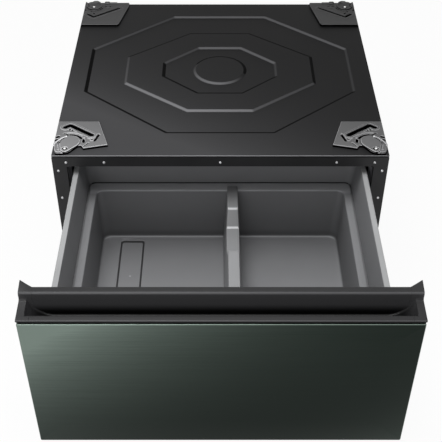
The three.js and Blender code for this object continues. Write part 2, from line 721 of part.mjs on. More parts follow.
function drawerBin() {
  const rimPlan = roundedRectangle(-binHalf - binRimFlange, binHalf + binRimFlange,
    binFront - binRimFlange, binBack + binRimFlange, binRimRadius / 2);
  const flange = extrudeZ(rimPlan, rimTop - binWall, rimTop, { steps: 3 });
  const padX = -binHalf + floorPadInset;
  const [, , y0, y1] = wellBounds(binLowerDraft);
  const padPlan = (inset, endInset) => roundedRectangle(
    padX - floorPadWidth / 2 + inset, padX + floorPadWidth / 2 - inset,
    y0 + floorPadEnd + endInset, y1 - floorPadEnd - endInset, floorPadRadius - inset);
  const [low, high] = [binFloorLevel - padGrooveDepth, binFloorLevel + 1];
  const groove = cut(extrudeZ(padPlan(0, 0), low, high, { steps: 4 }),
    extrudeZ(padPlan(padGrooveWidth, padGrooveEndWidth), low - 1, high + 1, { steps: 4 }));
  return cut(join(binWells(binWall, 0), flange), binWells(0, 1), groove);
}

// The divider: a hollow, drafted wall that hangs over the ledges, with a dip for a hand.
function dividerSide(wall) {
  const [, , top0, top1] = wellBounds(dividerGap + wall);
  const [, , foot0, foot1] = wellBounds(binLowerDraft + dividerGap + wall);
  const corner = dividerFootCorner;
  const [foot, shelf] = [binFloorLevel + dividerGap, binLedgeLevel + dividerGap - wall];
  const top = binLedgeLevel + dividerGap + dividerHookHeight - wall;
  const hook = wall > 0 ? 0 : dividerHook;
  const dipBack = top1 + wall / 2 - dipStart;
  const dipFront = dipBack + wall - dipLength;
  return polygon([[foot0 + corner, foot], [foot1 - corner, foot], [foot1, foot + corner], [top1, shelf],
    [top1 + hook, shelf], [top1 + hook, top - 2], [top1 + hook - 2, top],
    [dipBack, top], [dipBack - dipSlope, top - dipDepth], [dipFront + dipSlope, top - dipDepth],
    [dipFront, top], [top0 - hook + 2, top], [top0 - hook, top - 2], [top0 - hook, shelf],
    [top0, shelf], [foot0, foot + corner]]);
}

function divider() {
  const top = binLedgeLevel + dividerGap + dividerHookHeight;
  const section = (wall) => {
    const [low, high] = [binFloorLevel - 5, top + 5];
    const slope = dividerDraft / (top - binFloorLevel);
    const halfAt = (z) => dividerTopWidth / 2 + (top - z) * slope - wall;
    const plan = [[-halfAt(low), low], [halfAt(low), low], [halfAt(high), high], [-halfAt(high), high]];
    return extrudeY(polygon(plan), -10, binBack + 50);
  };
  const shell = (wall) => common(section(wall), extrudeX(dividerSide(wall), -60, 60));
  const [, , y0, y1] = wellBounds(binLowerDraft + dividerGap + dividerWall + dividerFootCorner);
  const mouth = common(section(dividerWall), block(-60, 60, y0, y1, binFloorLevel - 1, binFloorLevel + 5));
  return geometryOf(cut(shell(0), shell(dividerWall), mouth)).translate(dividerOffset, 0, 0);
}

// ---- Drawer front, drawn in its closed place ----

const forward = (distance) => frontBack - distance;
const panelBackEdge = frontDepth - panelReturn;

// The green front panel: a pan of sheet steel with softened edges, open at the back.
function frontPanel() {
  const outer = extrudeY(roundedRectangle(-halfWidth, halfWidth, panelBottom, panelTop, panelEdge + 0.5),
    forward(frontDepth), forward(panelBackEdge - 3), { bevel: panelEdge, bevelSteps: 2, steps: 2 });
  const inner = block(-halfWidth + sheet, halfWidth - sheet, forward(frontDepth - sheet),
    forward(panelBackEdge - 5), panelBottom + sheet, panelTop - sheet);
  const tail = block(-halfWidth - 1, halfWidth + 1, forward(panelBackEdge), forward(panelBackEdge - 5),
    panelBottom - 1, panelTop + 1);
  return cut(outer, inner, tail);
}

// The inner front: a moulded tray that closes the panel's back and carries the drawer's sides.
function innerFront() {
  const [low, high] = [panelBottom + backingInset, deckHeight + handleBottom - fitGap];
  const [x, rim] = [halfWidth - backingInset, panelBackEdge - backingRim];
  const plan = (half, bottom, top) => roundedRectangle(-half, half, bottom, top, 5);
  const tray = extrudeY(plan(x, low, high), forward(rim + 1), forward(0),
    { bevel: 1.5, bevelSteps: 1, steps: 3 });
  const rimPlate = extrudeY(plan(halfWidth - 0.5, panelBottom + 0.5, high),
    forward(panelBackEdge), forward(rim), { steps: 3 });
  const hollow = extrudeY(plan(x - backingWall, low + backingWall, high - backingWall),
    forward(panelBackEdge + 1), forward(backingWall), { steps: 3 });
  return cut(join(tray, rimPlate), hollow);
}

// The handle's section as a solid bar, up to its flange.
function handleSection(back) {
  const z = (height) => deckHeight + height;
  const seat = panelTop + fitGap;
  const underLip = z(lipFront - lipThickness);
  return [[forward(back), z(handleBottom)], [forward(panelBackEdge - fitGap), z(handleBottom)],
    [forward(panelBackEdge - fitGap), seat], [forward(frontDepth - lipRecess), seat],
    [forward(frontDepth - lipRecess), underLip], [forward(frontDepth), underLip],
    [forward(frontDepth), z(lipFront - 0.7)], [forward(frontDepth - 1), z(lipFront)],
    [forward(grooveBack + 2), z(lipFront + endRise)],
    [forward(grooveBack - 1), z(handleTop - 2.5)], [forward(grooveBack - 2), z(handleTop - 0.6)],
    [forward(grooveBack - 3.5), z(handleTop)]];
}

// The finger groove: its section, with the slope under the lip, along a trough with scooped ends.
function fingerGroove() {
  const z = (height) => deckHeight + height;
  const [floor, above] = [z(handleBottom + handleFloor), z(earTop + 5)];
  const slope = lipFront + endRise * (frontDepth - grooveFront) / (frontDepth - grooveBack);
  const section = polygon([
    [forward(grooveBack), floor], [forward(grooveBack), above], [forward(grooveFront), above],
    [forward(grooveFront), z(slope - lipUnderEdge)], [forward(grooveThroat), panelTop],
    [forward(grooveThroat), floor]]);
  const [end, flat] = [halfWidth - grooveEnd, halfWidth - grooveEnd - grooveEndRun];
  const [bendIn, bendUp] = grooveEndBend;
  const trough = new THREE.Shape();
  trough.moveTo(-flat, floor);
  trough.lineTo(flat, floor);
  trough.quadraticCurveTo(end - bendIn, floor + bendUp, end, z(lipFront + endRise));
  trough.lineTo(end, above + 1);
  trough.lineTo(-end, above + 1);
  trough.lineTo(-end, z(lipFront + endRise));
  trough.quadraticCurveTo(-end + bendIn, floor + bendUp, -flat, floor);
  return common(extrudeX(section, -halfWidth, halfWidth),
    extrudeY(trough, forward(grooveFront) - 1, forward(grooveBack) + 1, { steps: 7 }));
}

// The handle: one long moulding with a finger groove behind its lip and a flange along its top.
function handle() {
  const half = halfWidth - capWidth - fitGap;
  const flangeTop = deckHeight + handleTop;
  const bar = extrudeX(polygon([...handleSection(flangeBack),
    [forward(flangeBack + 1), flangeTop], [forward(flangeBack), flangeTop - 1]]), -half, half);
  const under = block(-half + handleWall, half - handleWall, forward(grooveBack - handleWall),
    forward(flangeBack) + 1, deckHeight + handleBottom - 1, flangeTop - handleWall);
  return cut(bar, fingerGroove(), under);
}

// A handle end cap with its ear, drawn for the left end.
function handleCap() {
  const z = (height) => deckHeight + height;
  const section = polygon([...handleSection(flangeBack), [forward(-earReach), z(earTop)],
    [forward(-earReach), z(earTop - earThickness)], [forward(flangeBack), z(earTop - earThickness - 6)]]);
  const ear = extrudeX(section, -halfWidth, -halfWidth + capWidth);
  const corner = extrudeZ(polygon([[-halfWidth + capWidth + 1, forward(flangeBack) - 1],
    [-halfWidth + capWidth + 1, forward(-earReach) + 1], [-halfWidth + earTip, forward(-earReach) + 1]]),
  z(handleBottom - 1), z(earTop + 5));
  return cut(ear, fingerGroove(), corner);
}

function bumper() {
  const thickness = frontGap - fitGap;
  const profile = [[0, 0], [bumperRadius - 1, 0], [bumperRadius, 1], [bumperRadius, thickness],
    [0, thickness]];
  return revolve(profile, 16).rotateX(Math.PI / 2);
}

// ---- Assembly ----

const pedestal = new THREE.Group();
const cabinet = new THREE.Group();
const drawer = new THREE.Group();
const runners = new THREE.Group();
drawer.position.y = -drawerTravel;
runners.position.y = -drawerTravel / 2;
pedestal.add(cabinet, drawer, runners);

const sides = [['left', 1], ['right', -1]];
add(cabinet, 'top_plate', topPlate(), blackSheet());
add(cabinet, 'front_frame', frontFrame(), blackSheet());
add(cabinet, 'back_panel', backPanel(), blackSheet());
for (const [end, y] of [['front', baseRailAt], ['rear', cabinetDepth - baseRailAt]]) {
  add(cabinet, `base_rail_${end}`, baseRail(), darkZinc(), [0, y, 0]);
  for (const [side, sign] of sides) {
    const place = [-sign * (halfWidth - footInset), y, 0];
    add(cabinet, `levelling_foot_${end}_${side}`, levellingFoot(), blackRubber(), place);
    add(cabinet, `lock_nut_${end}_${side}`, lockNut(), brightZinc(), place);
  }
}
for (const [end, y] of [['front', stiffenerInset], ['rear', cabinetDepth - stiffenerInset]]) {
  add(cabinet, `deck_stiffener_${end}`, deckStiffener(), darkZinc(), [0, y, 0]);
}
for (const [side, sign] of sides) {
  add(cabinet, `side_panel_${side}`, mirrored(sidePanel(), sign), blackSheet());
  add(cabinet, `slide_carrier_${side}`, mirrored(slideCarrier(), sign), darkZinc());
  add(cabinet, `slide_outer_${side}`, mirrored(outerSlide(), sign), brightZinc());
  add(runners, `slide_middle_${side}`, mirrored(middleSlide(), sign), brightZinc());
  add(drawer, `slide_inner_${side}`, mirrored(innerSlide(), sign), brightZinc());
  add(drawer, `drawer_side_${side}`, mirrored(drawerSide(), sign), paleEnamel());
  add(drawer, `handle_cap_${side}`, mirrored(handleCap(), sign), blackPlastic());
  add(drawer, `bumper_${side}`, bumper(), blackRubber(),
    [-sign * (halfWidth - stileWidth / 2), frontBack + frontGap - fitGap, deckHeight - bumperDrop]);
}

for (const [end, y, signY] of [['front', 0, 1], ['rear', cabinetDepth, -1]]) {
  const holder = end === 'front' ? frontHolder() : rearHolder();
  const [u, v] = keepers[end].pivot;
  for (const [side, signX] of sides) {
    const corner = new THREE.Group();
    corner.position.set(-signX * halfWidth, y, deckHeight);
    cabinet.add(corner);
    const atPivot = [signX * u, signY * v, 0];
    add(corner, `corner_holder_${end}_${side}`, mirrored(holder, signX, signY), castGrey());
    add(corner, `foot_keeper_${end}_${side}`, mirrored(keeper(end), signX, signY), castGrey(), atPivot);
    add(corner, `keeper_pivot_${end}_${side}`, keeperPivot(), brightZinc(), atPivot);
  }
}

add(drawer, 'drawer_rear_panel', drawerRearPanel(), paleEnamel());
add(drawer, 'drawer_bin', drawerBin(), greyPlastic());
add(drawer, 'bin_divider', divider(), palePlastic());
add(drawer, 'front_panel', frontPanel(), greenSteel());
add(drawer, 'inner_front', innerFront(), blackPlastic());
add(drawer, 'handle', handle(), blackPlastic());

// The origin goes to the middle of the floor under the open pedestal.
const foremost = forward(frontDepth) - drawerTravel;
pedestal.position.y = -(foremost + cabinetDepth) / 2;

export default pedestal;
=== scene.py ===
"""A washer pedestal with its drawer open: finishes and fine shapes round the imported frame.

X runs to the right, Y to the back and Z up from the floor. Shapes are worked out in millimetres;
lamps, camera and shader coordinates are in metres.
"""

import math

import bpy
import numpy as np
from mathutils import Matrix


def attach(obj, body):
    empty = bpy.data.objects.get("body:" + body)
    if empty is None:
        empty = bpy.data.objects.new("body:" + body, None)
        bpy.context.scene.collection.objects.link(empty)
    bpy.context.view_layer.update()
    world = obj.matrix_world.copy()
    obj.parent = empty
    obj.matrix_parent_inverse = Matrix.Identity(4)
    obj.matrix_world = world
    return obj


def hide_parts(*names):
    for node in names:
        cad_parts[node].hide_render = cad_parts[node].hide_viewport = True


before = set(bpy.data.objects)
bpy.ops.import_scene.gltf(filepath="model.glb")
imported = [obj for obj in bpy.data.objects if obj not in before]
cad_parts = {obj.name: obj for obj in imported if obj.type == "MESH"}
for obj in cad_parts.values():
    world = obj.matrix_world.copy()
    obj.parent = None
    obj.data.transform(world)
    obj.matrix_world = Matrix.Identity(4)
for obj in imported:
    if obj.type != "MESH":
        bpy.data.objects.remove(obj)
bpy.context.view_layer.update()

MM = 0.001
ROOM_LIGHT = 0.28  # of the room on the object
FLOOR_GLOW = 0.95  # of the floor's own white, where it is seen
SIDES = ((-1, "left"), (1, "right"))

# Sizes in millimetres, heights above the floor.
HALF_WIDTH = 343.0
CABINET_DEPTH = 641.0
DECK = 361.0
CABINET_Y = -99.5  # from the cabinet's front plane to the row frame
DRAWER_Y = -468.5  # from the closed drawer's place to the row frame, where it stands open
OPENING_HALF = 314.0  # from the middle to the returns beside the frame's opening
BIN_FLOOR = 102.0
BIN_LEDGE = 231.0
BIN_RIM = 309.5
BIN_GROOVE_REAR = 441.9  # the ledge's groove starts here at the back, from the drawer's front
BIN_GROOVE_SIDE = 282.2  # and here at the sides, from the middle
GATE = (-193.0, 284.8)  # the bin's moulding mark: across, and back from the drawer's front
GROOVE_FLOOR = -41.0  # of the finger groove, from the deck
PANEL_TOP = 343.5
PANEL_BOTTOM = 16.5


# ---- Shader maths ----

class Value:
    """One output of a shader node. Arithmetic on it adds Math nodes to the same finish."""

    def __init__(self, finish, socket):
        self.finish = finish
        self.socket = socket

    def __add__(self, other):
        return self.finish.maths("ADD", self, other)

    def __sub__(self, other):
        return self.finish.maths("SUBTRACT", self, other)

    def __mul__(self, other):
        return self.finish.maths("MULTIPLY", self, other)

    def __radd__(self, other):
        return self.finish.maths("ADD", other, self)

    def __rsub__(self, other):
        return self.finish.maths("SUBTRACT", other, self)

    def __rmul__(self, other):
        return self.finish.maths("MULTIPLY", other, self)


class Finish:
    """A material under a maker's name, with one Principled shader."""

    def __init__(self, name, **fixed):
        self.material = bpy.data.materials.new(name)
        self.material.use_nodes = True
        self.tree = self.material.node_tree
        self.shader = self.tree.nodes["Principled BSDF"]
        self.set(**fixed)

    def set(self, **sockets):
        """Sets or links the shader's sockets, with _ for a space in their names."""
        for name, value in sockets.items():
            self.feed(self.shader.inputs[name.replace("_", " ")], value)

    def feed(self, socket, value):
        """Links a Value to a socket, or sets the socket to a constant."""
        if isinstance(value, Value):
            self.tree.links.new(value.socket, socket)
        else:
            socket.default_value = value

    def node(self, kind, settings=None, inputs=None, output=0):
        """A node of that type: its settings first, then the values or links of its sockets."""
        made = self.tree.nodes.new(kind)
        for key, value in (settings or {}).items():
            setattr(made, key, value)
        for key, value in (inputs or {}).items():
            self.feed(made.inputs[key], value)
        return Value(self, made.outputs[output])

    def maths(self, operation, first, second=0.0, clamp=False):
        """A Math node's output, from values or constants."""
        settings = {"operation": operation, "use_clamp": clamp}
        return self.node("ShaderNodeMath", settings, {0: first, 1: second})

    def place(self, stretch=(1, 1, 1)):
        """Object coordinates, in metres, stretched along each axis."""
        coordinates = self.node("ShaderNodeTexCoord", output="Object")
        return self.node("ShaderNodeMapping", {}, {"Vector": coordinates, "Scale": stretch})

    def split(self, vector):
        """A vector's three parts as separate values."""
        parts = self.node("ShaderNodeSeparateXYZ", {}, {0: vector}).socket.node.outputs
        return [Value(self, part) for part in parts]

    def axes(self):
        """The three object coordinates, in metres."""
        return self.split(self.place())

    def facing(self):
        """The three parts of the surface's own direction, without its bump."""
        return self.split(self.node("ShaderNodeNewGeometry", output="Normal"))

    def size_of(self, value):
        """A value without its sign."""
        return self.maths("ABSOLUTE", value)

    def noise(self, scale, detail=2.0, roughness=0.5, stretch=(1, 1, 1)):
        """A Noise Texture's factor, from 0 to 1."""
        return self.node("ShaderNodeTexNoise", {}, {
            "Vector": self.place(stretch), "Scale": scale, "Detail": detail, "Roughness": roughness})

    def between(self, value, low, high, out_low=0.0, out_high=1.0):
        """A smooth step: out_low under low, out_high over high."""
        return self.node("ShaderNodeMapRange", {"interpolation_type": "SMOOTHSTEP"}, {
            0: value, 1: low, 2: high, 3: out_low, 4: out_high})

    def past(self, place, start, end, out_start=0.0, out_end=1.0):
        """The same smooth step over a place, from start to end in millimetres."""
        return self.between(place, start * MM, end * MM, out_start, out_end)

    def blend(self, amount, first, second):
        """Two colours mixed by an amount. A Mix node's colours are its sockets 6 and 7, and its
        mixed colour is output 2."""
        return self.node("ShaderNodeMix", {"data_type": "RGBA"}, {
            0: amount, 6: (*first, 1), 7: (*second, 1)}, output=2)

    def shade(self, amount, tint=(1.0, 1.0, 1.0)):
        """Black at an amount of 0, and the tint at 1."""
        return self.blend(amount, (0.0, 0.0, 0.0), tint)

    def surface(self, colour, roughness, relief, strength, depth):
        """Links the colour, the roughness and a bump that is depth metres deep, and gives the
        material."""
        bump = self.node("ShaderNodeBump", {}, {
            "Height": relief, "Strength": strength, "Distance": depth})
        self.set(Base_Color=colour, Roughness=roughness, Normal=bump)
        return self.material


def painted_surface(finish, colour, roughness, patches, grain):
    """Satin baked paint: patches a little more or less dull, and a faint orange peel."""
    roughness = roughness + (patches - 0.5) * 0.06 + (grain - 0.5) * 0.05
    return finish.surface(colour, roughness, grain, 0.12, 0.0002)


def moulded_surface(finish, colour, roughness, grain, strength=0.25):
    """Plastic with the fine grain of a spark-eroded mould."""
    return finish.surface(colour, roughness + (grain - 0.5) * 0.12, grain, strength, 0.00015)


def painted_sheet(name, dark, light, roughness):
    """Baked paint between two shades."""
    finish = Finish(name, IOR=1.5, Specular_IOR_Level=0.25)
    patches, grain = finish.noise(9.0, 3.0), finish.noise(900.0, 1.0)
    colour = finish.blend(finish.between(patches, 0.35, 0.65), dark, light)
    return painted_surface(finish, colour, roughness, patches, grain)


def frame_paint(name):
    """The frame's black paint, with painted shade on the returns beside its opening and painted light
    that pales them toward their back.
    """
    finish = Finish(name, IOR=1.5, Specular_IOR_Level=0.25)
    x, y, _ = finish.axes()
    sideways = finish.size_of(finish.facing()[0])
    patches, grain = finish.noise(9.0, 3.0), finish.noise(900.0, 1.0)
    inside = finish.past(finish.size_of(x), OPENING_HALF + 6, OPENING_HALF + 3)
    returned = finish.between(sideways, 0.8, 0.95) * inside
    back = finish.past(y, CABINET_Y + 6.5, CABINET_Y + 11.5)
    # painted light that pales the returns toward their back
    painted_light_on_returns = returned * back * finish.past(y, CABINET_Y + 11.5, CABINET_Y + 44.5, 0.15, 0.7)
    # painted shade: the returns' own paint is darkened, and the painted light added behind their front
    amount = finish.between(patches, 0.35, 0.65, 0.016, 0.020) * (1 - returned * 0.7) + painted_light_on_returns
    return painted_surface(finish, finish.shade(amount, (1.0, 1.0, 1.05)), 0.45, patches, grain)


def deck_paint(name):
    """The deck's black paint. A painted reflection fades as exp(-x / a - y / b) from the front left
    corner, painted highlights lie on the pressed steps' walls that face that corner, painted shade
    on the walls that face away, and a painted highlight over painted shade on the front lip."""
    finish = Finish(name, IOR=1.5, Specular_IOR_Level=0.06)
    x, y, _ = finish.axes()
    across, along, upward = finish.facing()
    patches, grain = finish.noise(9.0, 3.0), finish.noise(900.0, 1.0)
    # painted reflection, brightest at the front left corner
    painted_sheen = finish.maths("MINIMUM", finish.maths("EXPONENT", x * -3.7 - y * 6.0 - 0.64), 1.0)
    turned = across * -0.35 - along * 0.93
    # painted highlight on step walls that face the front left
    painted_step_highlight = finish.between(turned, 0.0, 0.6) * (0.6 + painted_sheen * 1.3)
    # painted shade: step walls that face away are darkened toward black
    seen = finish.between(turned, -0.06, -0.006)
    front_lip = finish.past(y, CABINET_Y + 3.3, CABINET_Y + 2) * finish.between(along, -0.1, -0.2)
    # painted highlight on the front lip's bend and painted shade on its upright face
    painted_lip_light_and_shade = 1 + front_lip * finish.between(upward, 0.2, 0.6, -0.6, 1.2)
    amount = (0.006 + painted_sheen * 0.2 + painted_step_highlight * 0.55) * seen * (0.94 + grain * 0.12) * painted_lip_light_and_shade
    colour = finish.blend(amount, (0.0015, 0.0015, 0.0016), (0.24, 0.24, 0.25))
    return painted_surface(finish, colour, 0.42 + (1 - seen) * 0.5, patches, grain)


def handle_plastic(name):
    """Black plastic, grey where it lies open at the top, with painted highlights along its front
    bends and painted light on the groove's rear wall, and painted shade down the groove to black at
    its bottom and in the seam over the panel."""
    finish = Finish(name, IOR=1.46, Specular_IOR_Level=0.2)
    _, y, z = finish.axes()
    _, along, upward = finish.facing()
    grain = finish.noise(1400.0, 2.0, 0.6)
    # painted shade: the seam over the panel is black
    painted_seam_shade = finish.past(y, DRAWER_Y - 64, DRAWER_Y - 65) * finish.past(z, DECK - 11.4, DECK - 12)
    # painted highlight along the front bends
    bend = finish.between(upward, 0.97, 0.85) * finish.between(upward, 0.2, 0.5)
    bend = bend * finish.between(along, 0.0, -0.3)
    in_groove = finish.past(y, DRAWER_Y - 58.5, DRAWER_Y - 53.5) * finish.past(z, DECK + 5.5, DECK + 3.5)
    # painted shade: darker down the groove, nearly black at its bottom
    clear_of_painted_shade = finish.past(z, DECK - 36, DECK - 16, 0.05, 1.0)
    amount = clear_of_painted_shade * (0.95 + grain * 0.1) * (1 + bend * (1 - in_groove) * 2.2)
    # painted light on the groove's rear wall
    painted_rear_wall_light = finish.between(upward, 0.5, 0.2) * finish.past(y, DRAWER_Y - 46.5, DRAWER_Y - 36.5)
    amount = amount * (1 + painted_rear_wall_light * 0.8) * (1 - painted_seam_shade)
    finish.set(Metallic=painted_seam_shade)  # metallic over black, which leaves the painted seam shade no gloss
    return moulded_surface(finish, finish.shade(amount * 0.25, (0.096, 0.096, 0.10)), 0.38, grain)


def bin_plastic(name):
    """Grey moulding: painted highlights on bends toward the front, painted shade that darkens the
    walls as they go down and the floor toward the back and blackens the fine grooves, painted light
    on the rear ledge, and a pale moulding mark."""
    finish = Finish(name, IOR=1.46)
    x, y, z = finish.axes()
    _, along, upward = finish.facing()
    grain = finish.noise(1400.0, 2.0, 0.6)
    cloud = finish.noise(14.0)
    # painted highlight on bends that face the front
    bend = finish.between(upward, 0.25, 0.5) * finish.between(upward, 0.985, 0.85)
    bend = bend * finish.between(along, -0.1, -0.5, 0.0, 0.8)
    # painted shade: walls darker as they go down
    wall = finish.between(upward, 0.75, 0.35) * finish.past(z, BIN_RIM + 0.5, BIN_FLOOR)
    # painted shade: the floor darker toward the back
    painted_floor_shade = finish.past(y, DRAWER_Y + 138.5, DRAWER_Y + 408.5, -0.3, 0.26)
    painted_floor_shade = finish.past(z, BIN_FLOOR + 23, BIN_FLOOR + 8) * painted_floor_shade
    # painted light on the rear ledge
    painted_rear_ledge_light = finish.between(upward, 0.9, 0.97) * finish.past(y, DRAWER_Y + 402.5, DRAWER_Y + 412.5)
    painted_rear_ledge_light = painted_rear_ledge_light * finish.past(z, BIN_LEDGE - 2, BIN_LEDGE - 0.4)
    painted_rear_ledge_light = painted_rear_ledge_light * finish.past(z, BIN_LEDGE + 9, BIN_LEDGE + 5)
    # painted shade: black down in the pad's groove
    painted_pad_groove_shade = finish.past(z, BIN_FLOOR - 1.7, BIN_FLOOR - 0.4, 0.15, 1.0)
    # painted shade in the groove round the ledge, full behind and fainter beside
    behind = finish.past(y, DRAWER_Y + BIN_GROOVE_REAR - 0.6, DRAWER_Y + BIN_GROOVE_REAR + 0.2)
    beside = finish.past(finish.size_of(x), BIN_GROOVE_SIDE - 3.2, BIN_GROOVE_SIDE - 1.2) * 0.4
    over_bottom = finish.past(z, BIN_LEDGE - 5, BIN_LEDGE - 2.5)
    painted_ledge_groove_shade = over_bottom - finish.past(z, BIN_LEDGE - 0.4, BIN_LEDGE + 0.8)
    painted_ledge_groove_shade = finish.maths("MAXIMUM", painted_ledge_groove_shade, 0.0) * finish.maths("MAXIMUM", behind, beside)
    from_x, from_y = x - GATE[0] * MM, y - (GATE[1] + DRAWER_Y) * MM
    mark = finish.between(from_x * from_x + from_y * from_y, 9e-6, 3e-6)
    mark = mark * finish.past(z, BIN_FLOOR + 4, BIN_FLOOR + 2)
    shade = (1 - wall * 0.5) * (1 - painted_floor_shade) * (1 + painted_rear_ledge_light * 0.7) * painted_pad_groove_shade * (1 - painted_ledge_groove_shade)
    amount = (0.205 + cloud * 0.02 + bend * 0.16 + mark * 0.12) * shade
    return moulded_surface(finish, finish.shade(amount, (1.0, 1.01, 1.045)), 0.5, grain)


def divider_plastic(name):
    """Light grey moulding, with painted light that pales it toward the front and along its
    front-facing bends.
    """
    finish = Finish(name, IOR=1.46)
    y = finish.axes()[1]
    _, along, upward = finish.facing()
    grain = finish.noise(1400.0, 2.0, 0.6)
    cloud = finish.noise(14.0)
    # painted highlight on front-facing bends
    bend = finish.between(upward, 0.6, 0.75) * finish.between(upward, 0.99, 0.9)
    bend = bend * finish.between(along, 0.1, -0.3)
    # painted light, paler toward the front
    painted_light_toward_front = finish.past(y, DRAWER_Y + 408.5, DRAWER_Y + 188.5, 0.75, 1.3)
    amount = (0.22 + cloud * 0.03 + bend * 0.35) * painted_light_toward_front
    return moulded_surface(finish, finish.shade(amount, (1.0, 1.01, 1.035)), 0.45, grain)


def black_rubber(name):
    """Matt rubber with a coarse grain."""
    finish = Finish(name, IOR=1.46)
    grain = finish.noise(600.0, 2.0, 0.6)
    cloud = finish.between(finish.noise(14.0), 0.3, 0.7)
    return moulded_surface(finish, finish.shade(0.010 + cloud * 0.006), 0.8, grain, 0.6)


def corner_casting(name, base, low):
    """Glass-filled moulding in a corner, with painted light that pales it toward the front left,
    painted highlights along its edges, and painted shade that blacks out its slots and grooves below
    the height low over the deck."""
    finish = Finish(name, IOR=1.46, Specular_IOR_Level=0.3)
    x, y, z = finish.axes()
    upward = finish.facing()[2]
    # painted light: paler toward the front left
    pale = finish.maths("EXPONENT", (x + 0.29) * -0.9 - (y + 0.05) * 3.5) * base
    # painted highlight along the edges
    edge = finish.between(upward, 0.99, 0.9) * finish.between(upward, 0.3, 0.6)
    # painted shade: black below the height low, in the slots and grooves
    clear_of_painted_shade = finish.past(z, DECK + low, DECK + low + 1.2)
    grain = finish.noise(800.0, 2.0, 0.6)
    amount = pale * (0.95 + grain * 0.1) * (1 + edge * 2.0) * clear_of_painted_shade
    finish.set(Metallic=1 - clear_of_painted_shade)  # metallic over black, which leaves the painted shade in the slots no gloss
    return moulded_surface(finish, finish.shade(amount, (1.0, 1.0, 1.02)), 0.5, grain, 0.4)


def plated(name, dark, light, roughness):
    """Zinc plate: dull spangles and fine rolling lines along the sheet."""
    finish = Finish(name, Metallic=0.9)
    spangle = finish.noise(160.0)
    lines = finish.noise(700.0, stretch=(1, 0.04, 1))
    colour = finish.blend(finish.between(spangle, 0.35, 0.65), dark, light)
    roughness = roughness + (spangle - 0.5) * 0.15 + (lines - 0.5) * 0.1
    return finish.surface(colour, roughness, lines, 0.1, 0.0001)


def pivot_zinc(name):
    """Zinc plate with a painted highlight on a head's flat top, dull down its sides."""
    finish = Finish(name, Metallic=0.9)
    upward = finish.facing()[2]
    spangle = finish.noise(900.0)
    # painted highlight on the flat top
    bright = finish.between(upward, 0.93, 0.99, 0.06, 0.95) * (0.92 + spangle * 0.16)
    return finish.surface(finish.shade(bright), 0.32 + (spangle - 0.5) * 0.1, spangle, 0.1, 0.0001)


def brushed_green(name):
    """Dark green coated steel, brushed from side to side. A painted reflection fades as
    exp(-x / a + z / b) from the upper left corner and a fainter one as exp(x / c - z / d) from the
    lower right, painted highlights lie on its bent edges, and painted shade darkens it toward its foot."""
    finish = Finish(name, Metallic=1.0)
    strokes = finish.noise(420.0, 3.0, 0.7, stretch=(0.012, 1, 1))
    fine = finish.noise(1500.0, 2.0, 0.6, stretch=(0.02, 1, 1))
    mix = strokes * 0.6 + fine * 0.4
    x, _, z = finish.axes()
    # painted reflection from the upper left
    painted_sheen = finish.maths("EXPONENT", (-0.30 - x) * 5.6 + (z - 0.335) * 8.0)
    # fainter painted reflection from the lower right
    low = finish.maths("EXPONENT", (x - 0.33) * 9.0 + (0.02 - z) * 11.0) * 0.12
    front = finish.size_of(finish.facing()[1])
    # painted highlight on the bent edges
    edge = finish.between(front, 0.97, 0.8) * finish.between(front, 0.1, 0.45) * 1.1
    # painted shade: darker toward the panel's foot
    even = finish.past(z, PANEL_BOTTOM + 3.5, PANEL_BOTTOM + 233.5, 0.0, 0.022)
    amount = finish.maths("MINIMUM", painted_sheen * 1.25 + low + edge + even, 1.3)
    amount = amount * finish.between(mix, 0.3, 0.7, 0.88, 1.12)
    colour = finish.blend(amount, (0.0010, 0.0045, 0.0025), (0.182, 0.228, 0.20))
    return finish.surface(colour, 0.4 + (mix - 0.5) * 0.2, mix, 0.25, 0.00012)


FINISHES = {
    "deck": deck_paint("satin black deck paint"),
    "cabinet": painted_sheet("black cabinet paint", (0.018, 0.018, 0.020), (0.024, 0.024, 0.026), 0.5),
    "frame": frame_paint("black frame paint"),
    "dark_zinc": plated("dark zinc plate", (0.05, 0.052, 0.055), (0.08, 0.082, 0.086), 0.45),
    "bright_zinc": plated("bright zinc plate", (0.42, 0.43, 0.44), (0.55, 0.56, 0.57), 0.3),
    "enamel": painted_sheet("pale grey enamel", (0.35, 0.355, 0.36), (0.38, 0.385, 0.39), 0.4),
    "bin": bin_plastic("grey bin plastic"),
    "divider": divider_plastic("light grey divider plastic"),
    "black_plastic": handle_plastic("black handle plastic"),
    "green": brushed_green("brushed green steel"),
    "cast": corner_casting("grey corner casting", 0.16, 3.3),
    "keeper": corner_casting("grey keeper casting", 0.18, 6.2),
    "arm": corner_casting("pale hook arm", 0.24, -1.0),
    "screw": plated("light zinc screw", (0.62, 0.62, 0.63), (0.74, 0.74, 0.75), 0.35),
    "pivot": pivot_zinc("turned zinc pivot"),
    "rubber": black_rubber("black rubber"),
}

NODE_FINISHES = {
    "top_plate": "deck", "side_panel": "cabinet", "front_frame": "frame", "back_panel": "cabinet",
    "base_rail": "dark_zinc", "deck_stiffener": "dark_zinc", "slide_carrier": "dark_zinc",
    "slide_outer": "bright_zinc", "slide_middle": "bright_zinc", "slide_inner": "bright_zinc",
    "drawer_side": "enamel", "drawer_rear_panel": "enamel", "drawer_bin": "bin", "bin_divider": "divider",
    "handle": "black_plastic", "handle_cap": "black_plastic", "front_panel": "green",
    "inner_front": "black_plastic", "corner_holder": "cast", "foot_keeper": "keeper",
    "keeper_pivot": "bright_zinc", "lock_nut": "bright_zinc", "levelling_foot": "rubber",
    "bumper": "rubber",
}


def dress_frame():
    """Gives each CAD node its finish, by the longest name that its own name starts with."""
    for name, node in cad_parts.items():
        stem = max((key for key in NODE_FINISHES if name.startswith(key)), key=len)
        node.data.materials.clear()
        node.data.materials.append(FINISHES[NODE_FINISHES[stem]])


dress_frame()


# ---- Shapes ----

